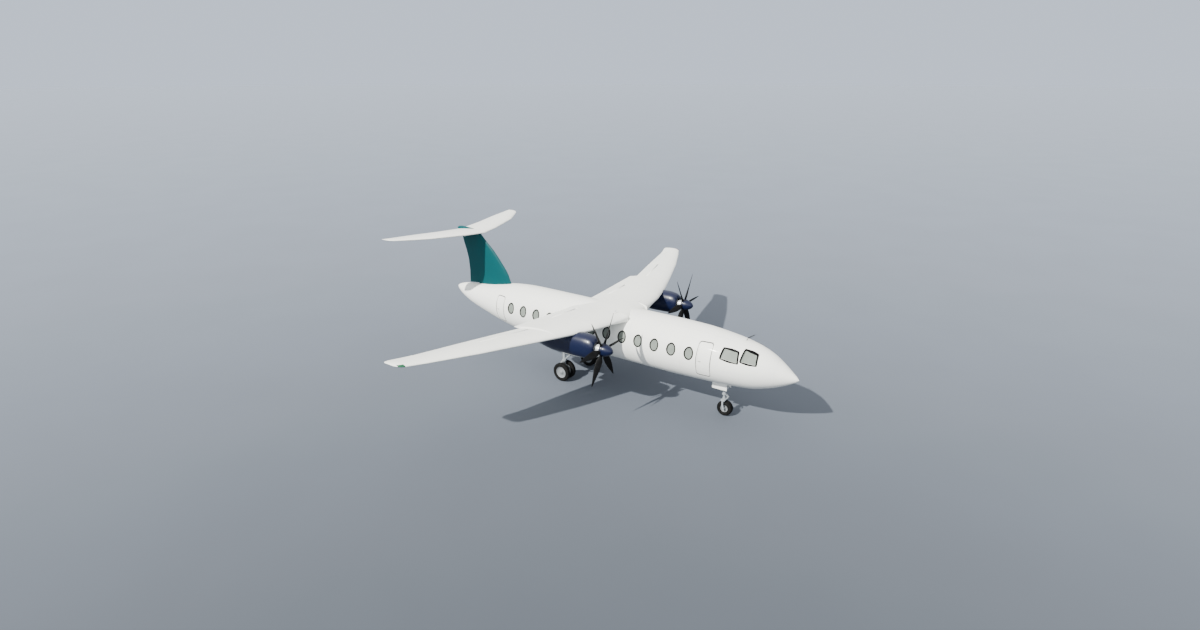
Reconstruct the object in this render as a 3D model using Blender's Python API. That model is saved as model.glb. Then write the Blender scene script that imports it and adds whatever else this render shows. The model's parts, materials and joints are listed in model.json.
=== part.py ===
"""Twin turboprop airliner with a high wing and a T-tail, standing on its gear.

Metres, +Z up, ground at z = 0. The nose points to -Y and the port side is +X.
The origin lies on the ground, half way along and half way across the aircraft.
"""
import math

import bmesh
import bpy
from mathutils import Matrix, Vector

# Clearances and fineness
SEAT = 0.0003          # between pieces that touch
SKIN_GAP = 0.0005      # between a skin and a piece fitted over it
RUNNING = 0.012        # round a control surface's nose
END_GAP = 0.025        # at a control surface's ends
ROUND = 20             # sides of a turned piece
PIN_SIDES = 12         # sides of a hinge pin
SMOOTH_ANGLE = math.radians(35)

# Fuselage: station along the aircraft, radius, height of the centre
FUSELAGE = [
    (-11.30, 0.00, 2.865), (-11.22, 0.09, 2.868), (-10.98, 0.26, 2.885),
    (-10.52, 0.545, 2.935), (-9.88, 0.86, 3.00), (-9.07, 1.11, 3.045),
    (-7.98, 1.27, 3.105), (-6.20, 1.395, 3.15), (-4.60, 1.43, 3.146),
    (3.60, 1.43, 3.146), (5.00, 1.39, 3.176), (6.50, 1.225, 3.22),
    (7.90, 0.96, 3.26), (9.30, 0.68, 3.33), (10.35, 0.40, 3.46),
    (10.90, 0.15, 3.54), (11.03, 0.04, 3.56),
]
FUSELAGE_SIDES = 32
RADOME_PLACES = [-11.296, -11.25, -11.10, -10.80]
RADOME_END = -10.45
NOSE_SECTION_END = -7.70
NOSE_STEP = 0.55
CABIN_PLACES = [-6.95, -6.2, -5.4, -4.6, 3.6]
CABIN_END = 4.60
TAIL_STEP = 0.72

# Jack pads: one under the nose, one under each end of the centre wing
NOSE_JACK_Y = -9.10
WING_JACK = (5.12, -0.30)
JACK_PAD_RADIUS = 0.08
JACK_PAD_PROUD = 0.03
JACK_PAD_ROOT = 0.06
JACK_PAD_SIDES = 16

# Cabin doors: middle along the aircraft, width, sill and top, thickness. The port doors
# swing on pins in a deeper recess; the starboard ones are closed and seated.
FRONT_DOOR_Y = -6.96
FRONT_DOOR_WIDTH = 0.70
REAR_DOOR_Y = 6.36
REAR_DOOR_WIDTH = 0.62
DOOR_SILL = 2.46
FRONT_DOOR_TOP = 4.10
REAR_DOOR_TOP = 3.96
DOOR_THICK = 0.06
PORT_RECESS = 0.13
RECESS_PROUD = 0.02
DOOR_REACH = 0.9
DOOR_GAP = 0.008
DOOR_PIN_RADIUS = 0.008
DOOR_PIN_INSET = 0.03
DOOR_PIN_HALF_LENGTH = 0.05

# Wing: distance out from the centreline against the place along the aircraft
WING_LEAD = [(0.0, -2.42), (1.5, -2.25), (3.0, -1.97), (4.5, -1.50), (6.5, -0.745),
             (9.0, 0.255), (11.2, 1.28), (12.0, 1.70)]
INNER_TRAIL = [(0.0, 1.17), (5.38, 1.50)]
OUTER_TRAIL = [(5.38, 1.10), (8.30, 1.84), (10.95, 2.46), (12.0, 2.84)]
WING_JOINT = 5.38
CENTRE_PLACES = [0.6, 1.5, 3.0, 4.5, WING_JOINT - SKIN_GAP]
OUTER_PLACES = [WING_JOINT + SEAT, 6.5, 7.7, 9.0, 10.1, 11.2, 12.0, 12.14, 12.23, 12.27]
WING_TIP_START = 12.0
WING_TIP = 12.28
TIP_LINE = 0.62        # share of the chord that the rounded tip closes in on
TIP_CHORD = 0.35       # share of the chord left at the very tip
TIP_THICK = 0.25       # share of the thickness left there
WING_ROOT_Z = 4.34
WING_BEND = 1.43
WING_RISE = 0.031
WING_THICK = [(0.0, 0.175), (5.4, 0.155), (12.28, 0.12)]
WING_CAMBER = 0.018
FRACTIONS = [1.0, 0.80, 0.61, 0.43, 0.27, 0.15, 0.065, 0.015]

# Control surfaces: a round nose about the hinge line, and a cove that clears it
SURFACE_SHARES = (1.0, 0.66, 0.33, 0.0)
SURFACE_RINGS = 4
NOSE_STEPS = 8
COVE_FROM = math.radians(117)
COVE_SWEEP = math.radians(126)
COVE_LIP = 0.45
COVE_REACH = 2.5
COVE_TALL = 0.6
AILERON = (8.36, 10.95)
AILERON_HINGE = [(8.30, 1.36), (11.0, 2.03)]
AILERON_PIN_RADIUS = 0.014
PIN_ROOT = 0.05
PIN_REACH = 0.09
BORE_START = 0.01
BORE_REACH = 0.095

# Flaps: their ends along the wing, the room left at each end, and their arms and brackets
INNER_FLAP = (1.56, 3.44)
OUTER_FLAP = (5.53, 8.16)
INNER_FLAP_GAPS = (0.025, 0.025)
OUTER_FLAP_GAPS = (0.08, 0.03)
FLAP_FRONT = [(1.0, 0.40), (5.37, 0.62)]
OUTER_FLAP_FRONT = [(5.38, 0.32), (8.40, 1.12)]
BAY_REACH = 2.4
BAY_LOW = 3.2
BAY_HIGH = 5.6
FLAP_SHARES = (1.0, 0.6, 0.3)
FLAP_NOSE = 0.9
FLAP_NOSE_SHARES = (1.0, 0.3, 0.0)
FLAP_THICK_SHARES = (1.0, 1.0, 1.0, 1.0, 0.72, 0.30)
INNER_BRACKETS = (1.95, 3.10)
OUTER_BRACKETS = (5.95, 7.60)
FLAP_PIVOT_DROP = 0.34
FLAP_PIVOT_BACK = 0.05
ARM_TOP = (0.12, 0.50)
ARM_FOOT = [(0.05, -0.035), (-0.03, -0.045), (-0.045, 0.02)]
ARM_KNEE = (0.06, -0.08)
BRACKET_TOP = (-0.80, -0.06)
BRACKET_FOOT = [(0.04, 0.045), (0.05, -0.03), (-0.03, -0.05)]
BRACKET_KNEE = (-0.50, 0.01)
BRACKET_THICK = 0.04
BRACKET_STEP = 0.06
FLAP_PIN_RADIUS = 0.016
FLAP_PIN_REACH = 0.105

# Engines and propellers
ENGINE_X = 4.09
HUB_Z = 3.85
PROP_Y = -2.99
PROP_RADIUS = 1.86
BLADES = 6
# Blade: distance from the shaft, chord, thickness, pitch in degrees
BLADE_PLAN = [
    (0.24, 0.12, 0.100, 44), (0.42, 0.22, 0.085, 42), (0.62, 0.33, 0.060, 39),
    (0.95, 0.32, 0.042, 34), (1.30, 0.24, 0.028, 30), (1.60, 0.14, 0.018, 27),
    (1.78, 0.07, 0.013, 26), (PROP_RADIUS, 0.025, 0.010, 26),
]
BLADE_SIDES = 6
HUB_RADIUS = 0.31
HUB_FRONT = -3.09
HUB_BACK = -2.92
HUB_EDGE = 0.02
SPINNER_TIP = -3.57
SPINNER_STEPS = 6
SPINNER_FULLNESS = 1.7
SPINNER_TAPER = 0.12
SHAFT_RADIUS = 0.07
SHAFT_END = 0.02
GEARBOX_RADIUS = 0.21
GEARBOX_FRONT = -2.87
ENGINE_RADIUS = 0.33
ENGINE_FRONT = -2.30
ENGINE_BACK = -0.85
COWL_MOUTH = 0.27
COWL_MOUTH_FRONT = -2.75
COWL_INSIDE = 0.40
COWL_INSIDE_FRONT = -2.51
# Nacelle: station, half width, half height, height of the centre
NACELLE = [
    (-2.66, 0.33, 0.36, 3.84), (-2.60, 0.40, 0.46, 3.84), (-2.43, 0.46, 0.56, 3.84),
    (-2.05, 0.50, 0.615, 3.84), (-1.20, 0.51, 0.63, 3.83), (-0.20, 0.50, 0.63, 3.83),
    (0.45, 0.45, 0.58, 3.86), (0.95, 0.34, 0.44, 3.97), (1.25, 0.19, 0.25, 4.13),
    (1.42, 0.06, 0.09, 4.25),
]
NACELLE_PLACES = [-2.66, -2.61, -2.49, -2.28, -1.95, -1.2, -0.2, 0.35, 0.75, 1.05, 1.25, 1.40]
NACELLE_SIDES = 24
NACELLE_SQUARE = 0.86  # below 1 the section is squarer than an ellipse
ABOVE_WING = 6.0
BEHIND_WING = 1.0

# Tail
FIN_LEAD = [(3.9, 6.42), (4.45, 6.515), (4.92, 6.685), (5.25, 6.90), (5.80, 7.355),
            (6.30, 7.81), (6.80, 8.38), (7.20, 8.80), (7.40, 9.00)]
FIN_TRAIL = [(3.9, 9.96), (4.76, 9.915), (5.53, 9.975), (6.02, 10.105), (6.50, 10.275),
             (7.00, 10.41), (7.40, 10.49)]
FIN_TOP = 7.33
FIN_LEVELS = [3.95, 4.45, 4.92, 5.25, 5.80, 6.30, 6.80, 7.08, 7.20, FIN_TOP]
FIN_THICK = 0.105
RUDDER_HINGE = [(4.0, 9.12), (7.20, 9.76)]
RUDDER_BOTTOM = 4.10
RUDDER_TOP = 7.00
RUDDER_LEVELS = [RUDDER_BOTTOM, 4.76, 5.53, 6.02, 6.50, RUDDER_TOP]
RUDDER_FOOT_SLOPE = 0.14
RUDDER_COVE_BOTTOM = 3.5
RUDDER_COVE_HALF = 0.8
RUDDER_PIN_RADIUS = 0.02
RUDDER_LOW_PIN = 0.22
RUDDER_HIGH_PIN = 0.12
STAB_Z = 7.34
STAB_RISE = 0.040
STAB_LEAD = [(0.0, 8.42), (1.2, 8.66), (2.2, 8.98), (3.4, 9.38), (4.4, 9.98), (5.0, 10.38)]
STAB_TRAIL = [(0.0, 10.42), (1.73, 10.64), (3.29, 10.98), (4.86, 11.22), (5.3, 11.2975)]
STAB_TIP_START = 5.0
STAB_TIP = 5.30
STAB_TIP_CHORD = 0.3
STAB_THICK = 0.11
STAB_HALF_PLACES = [1.2, 2.2, 3.4, 4.4, 5.0, 5.18, 5.26, 5.295]
STAB_PLACES = [-x for x in reversed(STAB_HALF_PLACES)] + [0.0] + STAB_HALF_PLACES
ELEVATOR = (0.16, 4.86)
ELEVATOR_HINGE = [(0.0, 9.74), (5.0, 10.93)]
ELEVATOR_PIN_RADIUS = 0.012
BULLET_FRONT = 9.00
BULLET_BACK = 10.75
BULLET_SIZE = 0.135
BULLET_EDGE = 0.012
BULLET_WIDTH = 0.75
BULLET_RINGS = 11
BULLET_SIDES = 8

# Main gear
MAIN_X = 1.28
MAIN_Y = 1.57
MAIN_TYRE_RADIUS = 0.53
MAIN_TYRE_WIDTH = 0.25
MAIN_HALF_SPACING = 0.26
MAIN_RIM = 0.32
MAIN_LEG_RADIUS = 0.11
MAIN_SLIDER_RADIUS = 0.08
MAIN_LEG_BOTTOM = 1.10
MAIN_LEG_TOP = 2.05
MAIN_FOOT_DROP = 0.09
MAIN_BOSS_RADIUS = 0.10
MAIN_BOSS_HALF = 0.09
BRACE_RADIUS = 0.04
BRACE_LOW = (-0.04, 1.22)
BRACE_HIGH = (-0.70, 1.85)
AXLE_RADIUS = 0.045
AXLE_CAP = (0.07, 0.01)
DISH_RADIUS = 0.12
DISH_DEPTH = 0.06
FLANGE = (0.02, 0.035)
BRIM_SHARE = 0.34      # half width of a rim, as a share of its tyre's width
# A tyre's section: share of half its width, share of the height from rim to tread
TYRE_SECTION = [(0.66, 0.0), (1.0, 0.42), (0.88, 0.82), (0.50, 1.0)]
SPONSON_FRONT = -0.9
SPONSON_BACK = 3.7
SPONSON_X = 1.13
SPONSON_Z = 2.12
SPONSON_HALF_WIDTH = 0.43
SPONSON_HALF_HEIGHT = 0.56
SPONSON_SQUARE = 0.8
SPONSON_SKEW = 0.85
SPONSON_BLUNT = 0.55
SPONSON_END = 0.02
SPONSON_RINGS = 12
SPONSON_SIDES = 16

# Nose gear
NOSE_STRUT_Y = -7.62
NOSE_AXLE_Y = -7.70
NOSE_TYRE_RADIUS = 0.40
NOSE_TYRE_WIDTH = 0.36
NOSE_RIM = 0.20
NOSE_PIN_RADIUS = 0.03
NOSE_PIN_END = 0.258
NOSE_BOSS = (0.204, 0.055)
NOSE_DISH_RADIUS = 0.075
NOSE_DISH_DEPTH = 0.05
NOSE_FLANGE = (0.015, 0.03)
NOSE_STRUT_RADIUS = 0.09
NOSE_STRUT_BOTTOM = 1.10
NOSE_STRUT_TOP = 2.30
NOSE_PISTON_RADIUS = 0.062
NOSE_PISTON_TOP = 1.48
NOSE_PISTON_ROOM = 0.02
CROWN_LOW = 0.835
CROWN_HIGH = 0.905
CROWN_AHEAD = 0.06
CROWN_BEHIND = 0.08
FORK_INSIDE = 0.21
FORK_OUTSIDE = 0.26
FORK_ARM = (-0.055, 0.075)
FORK_FOOT = 0.07
NOSE_BAY = (-8.25, -7.02)
NOSE_BAY_HALF_WIDTH = 0.27
NOSE_BAY_BOTTOM = 1.0
NOSE_DOOR = (-7.84, -7.04)
NOSE_DOOR_BOTTOM = 1.45
NOSE_DOOR_TOP = 1.99
NOSE_DOOR_THICK = 0.025

# Paint and metal
WHITE = (0.80, 0.80, 0.78)
GREY = (0.55, 0.57, 0.60)
SILVER = (0.75, 0.77, 0.80)
NAVY = (0.012, 0.028, 0.110)
TEAL = (0.012, 0.200, 0.220)
BLACK = (0.012, 0.012, 0.013)
RUBBER = (0.020, 0.020, 0.021)

materials = {}


def paint(name, colour, roughness=0.35, metallic=0.0):
    if name not in materials:
        material = bpy.data.materials.new(name)
        material.use_nodes = True
        shader = material.node_tree.nodes["Principled BSDF"]
        shader.inputs["Base Color"].default_value = (*colour, 1.0)
        shader.inputs["Roughness"].default_value = roughness
        shader.inputs["Metallic"].default_value = metallic
        materials[name] = material
    return materials[name]


def between(table, at):
    """Straight-line reading of a list of (place, value) points."""
    if at <= table[0][0]:
        (a, u), (b, v) = table[0], table[1]
    elif at >= table[-1][0]:
        (a, u), (b, v) = table[-2], table[-1]
    else:
        for (a, u), (b, v) in zip(table, table[1:]):
            if a <= at <= b:
                break
    return u + (v - u) * (at - a) / (b - a)


def smooth(table, at, column):
    """Reading of a station table along a smooth curve through its rows."""
    at = min(max(at, table[0][0]), table[-1][0])
    place = 0
    while place < len(table) - 2 and at > table[place + 1][0]:
        place += 1

    def slope(i):
        if i == 0 or i == len(table) - 1:
            j = min(i, len(table) - 2)
            return (table[j + 1][column] - table[j][column]) / (table[j + 1][0] - table[j][0])
        before = (table[i][column] - table[i - 1][column]) / (table[i][0] - table[i - 1][0])
        after = (table[i + 1][column] - table[i][column]) / (table[i + 1][0] - table[i][0])
        if before * after <= 0.0:
            return 0.0
        return 2.0 * before * after / (before + after)

    low, high = table[place], table[place + 1]
    run = high[0] - low[0]
    t = (at - low[0]) / run
    start = (2 * t ** 3 - 3 * t ** 2 + 1) * low[column] + (t ** 3 - 2 * t ** 2 + t) * run * slope(place)
    end = (3 * t ** 2 - 2 * t ** 3) * high[column] + (t ** 3 - t ** 2) * run * slope(place + 1)
    return start + end


def steps(first, last, count):
    """Evenly spaced values, both ends included."""
    return [first + (last - first) * i / (count - 1) for i in range(count)]


def squared(value, power):
    """A sine or cosine pushed outward, for a section squarer than an ellipse."""
    return math.copysign(abs(value) ** power, value)


def new_object(name, mesh, material):
    thing = bpy.data.objects.new(name, mesh)
    bpy.context.scene.collection.objects.link(thing)
    if material is not None:
        mesh.materials.append(material)
    return thing


def mesh_object(name, shape, material, smooth_shading=True):
    mesh = bpy.data.meshes.new(name)
    shape.to_mesh(mesh)
    shape.free()
    if smooth_shading:
        mesh.shade_smooth()
        mesh.set_sharp_from_angle(angle=SMOOTH_ANGLE)
    return new_object(name, mesh, material)


def loft(name, rings, material, smooth_shading=True):
    """A closed skin through rings of equal point counts, capped at both ends."""
    shape = bmesh.new()
    rows = [[shape.verts.new(point) for point in ring] for ring in rings]
    count = len(rings[0])
    for low, high in zip(rows, rows[1:]):
        for i in range(count):
            shape.faces.new((low[i], low[(i + 1) % count], high[(i + 1) % count], high[i]))
    shape.faces.new(list(reversed(rows[0])))
    shape.faces.new(rows[-1])
    bmesh.ops.remove_doubles(shape, verts=shape.verts, dist=0.00005)
    quads = [face for face in shape.faces if len(face.verts) == 4]
    bmesh.ops.triangulate(shape, faces=quads, quad_method="FIXED")
    bmesh.ops.recalc_face_normals(shape, faces=shape.faces)
    return mesh_object(name, shape, material, smooth_shading)


def cross_ways(axis):
    """An axis and two directions square to it and to each other."""
    along = Vector(axis).normalized()
    across = along.orthogonal().normalized()
    if abs(along.z) < 0.9:
        across = along.cross(Vector((0, 0, 1))).normalized()
    return along, across, along.cross(across)


def turned(name, profile, centre, axis, material, sides=ROUND, start=0.0):
    """A solid of revolution. The profile runs from end to end as (along, radius)."""
    along, across, other = cross_ways(axis)
    shape = bmesh.new()
    rows = []
    for place, radius in profile:
        middle = Vector(centre) + along * place
        if radius == 0.0:
            rows.append([shape.verts.new(middle)])
            continue
        row = []
        for k in range(sides):
            turn = start + 2 * math.pi * k / sides
            row.append(shape.verts.new(middle + radius * (across * math.cos(turn) + other * math.sin(turn))))
        rows.append(row)
    for low, high in zip(rows, rows[1:]):
        for k in range(sides):
            n = (k + 1) % sides
            if len(low) == 1:
                shape.faces.new((low[0], high[n], high[k]))
            elif len(high) == 1:
                shape.faces.new((low[k], low[n], high[0]))
            else:
                shape.faces.new((low[k], low[n], high[n], high[k]))
    bmesh.ops.recalc_face_normals(shape, faces=shape.faces)
    return mesh_object(name, shape, material)


def ring_turned(name, profile, centre, axis, material):
    """A ring of revolution. The profile is a closed loop of (along, radius)."""
    along, across, other = cross_ways(axis)
    shape = bmesh.new()
    rows = []
    for k in range(ROUND):
        turn = 2 * math.pi * k / ROUND
        out = across * math.cos(turn) + other * math.sin(turn)
        points = [Vector(centre) + along * place + out * radius for place, radius in profile]
        rows.append([shape.verts.new(point) for point in points])
    count = len(profile)
    for k in range(ROUND):
        low, high = rows[k], rows[(k + 1) % ROUND]
        for i in range(count):
            shape.faces.new((low[i], low[(i + 1) % count], high[(i + 1) % count], high[i]))
    bmesh.ops.recalc_face_normals(shape, faces=shape.faces)
    return mesh_object(name, shape, material)


def rod_profile(length, radius):
    return [(0.0, 0.0), (0.0, radius), (length, radius), (length, 0.0)]


def mirrored(half):
    """A whole turned profile from its half on the positive side."""
    return [(-along, radius) for along, radius in reversed(half)] + half


def round_bore(radius, sides):
    """Radius of a many-sided hole whose flats clear a round pin of this radius."""
    return (radius + SEAT) / math.cos(math.pi / sides) + 0.0001


def block(name, low, high, material):
    """A box between two corners."""
    shape = bmesh.new()
    bmesh.ops.create_cube(shape, size=1.0)
    size = Vector(high) - Vector(low)
    middle = (Vector(high) + Vector(low)) / 2
    placing = Matrix.Translation(middle) @ Matrix.Diagonal((*size, 1.0))
    bmesh.ops.transform(shape, verts=shape.verts, matrix=placing)
    return mesh_object(name, shape, material, False)


def side_block(name, side, near, far, low, high, material=None):
    """A box on one side of the aircraft; near and far are its distances from the centreline."""
    left, right = sorted((side * near, side * far))
    return block(name, (left, low[0], low[1]), (right, high[0], high[1]), material)


def combine(thing, other, operation):
    """Cut, join or intersect now, and drop the tool."""
    step = thing.modifiers.new(operation.lower(), "BOOLEAN")
    step.operation = operation
    step.object = other
    step.solver = "EXACT"
    bpy.context.view_layer.update()
    evaluated = thing.evaluated_get(bpy.context.evaluated_depsgraph_get())
    mesh = bpy.data.meshes.new_from_object(evaluated)
    thing.modifiers.clear()
    old = thing.data
    thing.data = mesh
    mesh.name = thing.name
    bpy.data.meshes.remove(old)
    bpy.data.objects.remove(other)
    mesh.shade_smooth()
    mesh.set_sharp_from_angle(angle=SMOOTH_ANGLE)


def put_origin(thing, where):
    """Put the object's origin on its joint without moving its shape."""
    where = Vector(where)
    thing.data.transform(Matrix.Translation(-where))
    thing.location = where


def paint_whole(thing, material):
    """One paint over a piece that was put together from several."""
    thing.data.materials.clear()
    thing.data.materials.append(material)


def add_pin(thing, start, end, radius):
    """A hinge pin from inside a moving piece out to a point in its neighbour."""
    run = Vector(end) - Vector(start)
    phase = math.pi / PIN_SIDES
    pin = turned("pin", rod_profile(run.length, radius), start, run, None, PIN_SIDES, phase)
    combine(thing, pin, "UNION")


def add_bore(thing, start, end, radius):
    """The hole that a pin turns in, a little wider than the pin at every angle."""
    run = Vector(end) - Vector(start)
    wide = round_bore(radius, PIN_SIDES)
    hole = turned("hole", rod_profile(run.length, wide), start, run, None, PIN_SIDES)
    combine(thing, hole, "DIFFERENCE")


def side_name(side):
    return "left" if side > 0 else "right"


# Fuselage: one round skin, cut square into the sections it is built from.
def fuselage_at(y):
    return smooth(FUSELAGE, y, 1), smooth(FUSELAGE, y, 2)


def fuselage_ring(y, grow=0.0):
    radius, height = fuselage_at(y)
    radius += grow
    ring = []
    for k in range(FUSELAGE_SIDES):
        turn = 2 * math.pi * k / FUSELAGE_SIDES
        ring.append((radius * math.sin(turn), y, height + radius * math.cos(turn)))
    return ring


def fuselage_body(name, places, material, grow=0.0):
    return loft(name, [fuselage_ring(y, grow) for y in places], material)


def nose_places():
    start = RADOME_END + SEAT
    return steps(start, NOSE_SECTION_END, round((NOSE_SECTION_END - start) / NOSE_STEP) + 1)


def cabin_places():
    return [NOSE_SECTION_END + SEAT] + CABIN_PLACES + [CABIN_END]


def tail_places():
    start, end = CABIN_END + SEAT, FUSELAGE[-1][0]
    return steps(start, end, round((end - start) / TAIL_STEP) + 1)


def add_jack_pad(thing, where):
    """A flat round pad that stands a little below the skin."""
    top = where + Vector((0, 0, JACK_PAD_ROOT))
    profile = rod_profile(JACK_PAD_ROOT + JACK_PAD_PROUD, JACK_PAD_RADIUS)
    combine(thing, turned("pad", profile, top, (0, 0, -1), None, JACK_PAD_SIDES), "UNION")


def build_fuselage():
    white = paint("fuselage_white", WHITE, 0.30)
    fuselage_body("radome", RADOME_PLACES + [RADOME_END], white)
    nose = fuselage_body("nose_section", nose_places(), white)
    cabin = fuselage_body("cabin_section", cabin_places(), white)
    tail = fuselage_body("tail_section", tail_places(), white)
    radius, height = fuselage_at(NOSE_JACK_Y)
    add_jack_pad(nose, Vector((0, NOSE_JACK_Y, height - radius)))
    return nose, cabin, tail


# Cabin doors: each a thick panel of the fuselage's own curve in a recess.
def skin_point(side, y, z):
    radius, height = fuselage_at(y)
    return Vector((side * math.sqrt(radius ** 2 - (z - height) ** 2), y, z))


def door_frame(middle, edge, side):
    """Where a door's hinge edge lies on the skin, and the way it runs."""
    reach = FRONT_DOOR_WIDTH / 2
    along = skin_point(side, middle + reach, edge) - skin_point(side, middle - reach, edge)
    turn = Matrix.Rotation(math.atan2(-along.x, along.y), 4, "Z")
    return Matrix.Translation(skin_point(side, middle, edge)) @ turn


def doorway_body(name, places, frame, size, grow, gap):
    """The fuselage inside one doorway. The size is its width, then its bottom and top
    as heights from the hinge edge."""
    width, bottom, top = size
    body = fuselage_body(name, places, None, grow)
    low = (-DOOR_REACH, gap - width / 2, bottom + gap)
    high = (DOOR_REACH, width / 2 - gap, top - gap)
    doorway = block("doorway", low, high, None)
    doorway.data.transform(frame)
    combine(body, doorway, "INTERSECT")
    return body


def build_door(name, side, shell, places, frame, size, inward):
    """One door; inward is +1 where it hinges along its sill and -1 along its top."""
    recess = doorway_body("recess", places, frame, size, RECESS_PROUD, 0.0)
    depth = PORT_RECESS if side > 0 else DOOR_THICK
    combine(recess, fuselage_body("floor", places, None, -depth), "DIFFERENCE")
    combine(shell, recess, "DIFFERENCE")
    door = doorway_body(name, places, frame, size, 0.0, DOOR_GAP)
    combine(door, fuselage_body("inside", places, None, SEAT - DOOR_THICK), "DIFFERENCE")
    if side > 0:
        for end in (-1, 1):
            middle = end * (size[0] / 2 - DOOR_GAP)
            inside = frame @ Vector((0, middle - end * DOOR_PIN_HALF_LENGTH, inward * DOOR_PIN_INSET))
            outside = frame @ Vector((0, middle + end * DOOR_PIN_HALF_LENGTH, inward * DOOR_PIN_INSET))
            beyond = outside + (outside - inside).normalized() * 0.002
            add_pin(door, inside, outside, DOOR_PIN_RADIUS)
            add_bore(shell, inside, beyond, DOOR_PIN_RADIUS)
        put_origin(door, frame @ Vector((0, 0, inward * DOOR_PIN_INSET)))
    else:
        put_origin(door, frame.translation)
    paint_whole(door, paint("door_white", WHITE, 0.32))


def build_doors(cabin, tail):
    front_edge = FRONT_DOOR_TOP - DOOR_GAP
    rear_edge = DOOR_SILL + DOOR_GAP
    front_size = (FRONT_DOOR_WIDTH, DOOR_SILL - front_edge, FRONT_DOOR_TOP - front_edge)
    rear_size = (REAR_DOOR_WIDTH, DOOR_SILL - rear_edge, REAR_DOOR_TOP - rear_edge)
    for side in (1, -1):
        front_frame = door_frame(FRONT_DOOR_Y, front_edge, side)
        rear_frame = door_frame(REAR_DOOR_Y, rear_edge, side)
        front_places = cabin_places()[:4]
        rear_places = tail_places()[:6]
        build_door(f"front_door_{side_name(side)}", side, cabin, front_places, front_frame, front_size, -1)
        build_door(f"rear_door_{side_name(side)}", side, tail, rear_places, rear_frame, rear_size, 1)


# Wing: a tapered, cambered aerofoil. Its flaps and ailerons are separate pieces.
def tip_squeeze(x, start, end):
    """1 up to where a tip starts to round off, falling to 0 at its end."""
    share = min(max((abs(x) - start) / (end - start), 0.0), 1.0)
    return math.sqrt(1.0 - share ** 2)


def wing_outline(x):
    """Leading edge, trailing edge and height of the wing at a distance from the centreline."""
    x = abs(x)
    lead = between(WING_LEAD, x)
    trail = between(INNER_TRAIL if x < WING_JOINT else OUTER_TRAIL, x)
    share = TIP_CHORD + (1.0 - TIP_CHORD) * tip_squeeze(x, WING_TIP_START, WING_TIP)
    middle = lead + TIP_LINE * (trail - lead)
    height = WING_ROOT_Z + WING_RISE * max(0.0, x - WING_BEND)
    return middle + (lead - middle) * share, middle + (trail - middle) * share, height


def wing_thick(x):
    squeeze = tip_squeeze(x, WING_TIP_START, WING_TIP)
    return between(WING_THICK, abs(x)) * (TIP_THICK + (1.0 - TIP_THICK) * squeeze)


def aerofoil(fraction, thick):
    """Half thickness of a symmetric section at a fraction of its chord, for a chord of 1."""
    f = min(max(fraction, 0.0), 1.0)
    curve = 0.2969 * math.sqrt(f) - 0.1260 * f - 0.3516 * f ** 2 + 0.2843 * f ** 3 - 0.1015 * f ** 4
    return 5 * thick * curve


class Surface:
    """A lifting surface: its outline and thickness along the span, and its camber."""

    def __init__(self, outline, thick, camber):
        self.outline = outline
        self.thick = thick
        self.camber = camber

    def point(self, x, fraction, up, grow=0.0):
        lead, trail, height = self.outline(x)
        chord = trail - lead
        half = aerofoil(fraction, self.thick(x)) * chord + grow
        line = self.camber * chord * 4 * fraction * (1 - fraction)
        return Vector((x, lead + fraction * chord, height + line + up * half))

    def ring(self, x, grow=0.0):
        """The whole section, from its trailing edge over the top and back along the bottom."""
        upper = [self.point(x, f, 1, grow) for f in FRACTIONS]
        nose = self.point(x, 0.0, 0) - Vector((0, grow, 0))
        lower = [self.point(x, f, -1, grow) for f in reversed(FRACTIONS)]
        upper[0].y += grow
        lower[-1].y += grow
        return upper + [nose] + lower

    def fraction(self, x, y):
        lead, trail, height = self.outline(x)
        return (y - lead) / (trail - lead)

    def middle(self, x, y):
        """The point half way between the two skins."""
        return self.point(x, self.fraction(x, y), 0)

    def half_thickness(self, x, y):
        lead, trail, height = self.outline(x)
        return aerofoil(self.fraction(x, y), self.thick(x)) * (trail - lead)

    def hinge(self, x, line):
        return self.middle(x, between(line, abs(x)))


WING = Surface(wing_outline, wing_thick, WING_CAMBER)


def span_prism(name, inner, outer, section):
    """A cutter along the span: section(x) gives its corner points as (y, z)."""
    return loft(name, [[(x, y, z) for y, z in section(x)] for x in (inner, outer)], None, False)


def control_surface(name, surface, inner, outer, line, material):
    """The part of the section behind a hinge line, with a round nose about the line."""
    rings = []
    for x in steps(inner, outer, SURFACE_RINGS):
        hinge = surface.hinge(x, line)
        radius = surface.half_thickness(x, hinge.y)
        start = surface.fraction(x, hinge.y)
        places = [start + (1.0 - start) * share for share in SURFACE_SHARES]
        ring = [surface.point(x, f, 1) for f in places]
        for turn in steps(math.pi / 2, 3 * math.pi / 2, NOSE_STEPS + 1)[1:-1]:
            ring.append(hinge + radius * Vector((0, math.cos(turn), math.sin(turn))))
        ring += [surface.point(x, f, -1) for f in reversed(places)]
        rings.append(ring)
    return loft(name, rings, material)


def cut_cove(fixed, surface, inner, outer, line):
    """Open the fixed section for a control surface."""
    def section(x):
        hinge = surface.hinge(x, line)
        radius = surface.half_thickness(x, hinge.y) + RUNNING
        lip = hinge.y - COVE_LIP * radius
        points = [(hinge.y + COVE_REACH, hinge.z + COVE_TALL), (lip, hinge.z + COVE_TALL)]
        for turn in steps(COVE_FROM, COVE_FROM + COVE_SWEEP, NOSE_STEPS + 1):
            points.append((hinge.y + radius * math.cos(turn), hinge.z + radius * math.sin(turn)))
        points += [(lip, hinge.z - COVE_TALL), (hinge.y + COVE_REACH, hinge.z - COVE_TALL)]
        return points
    combine(fixed, span_prism("cove", inner, outer, section), "DIFFERENCE")


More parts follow.
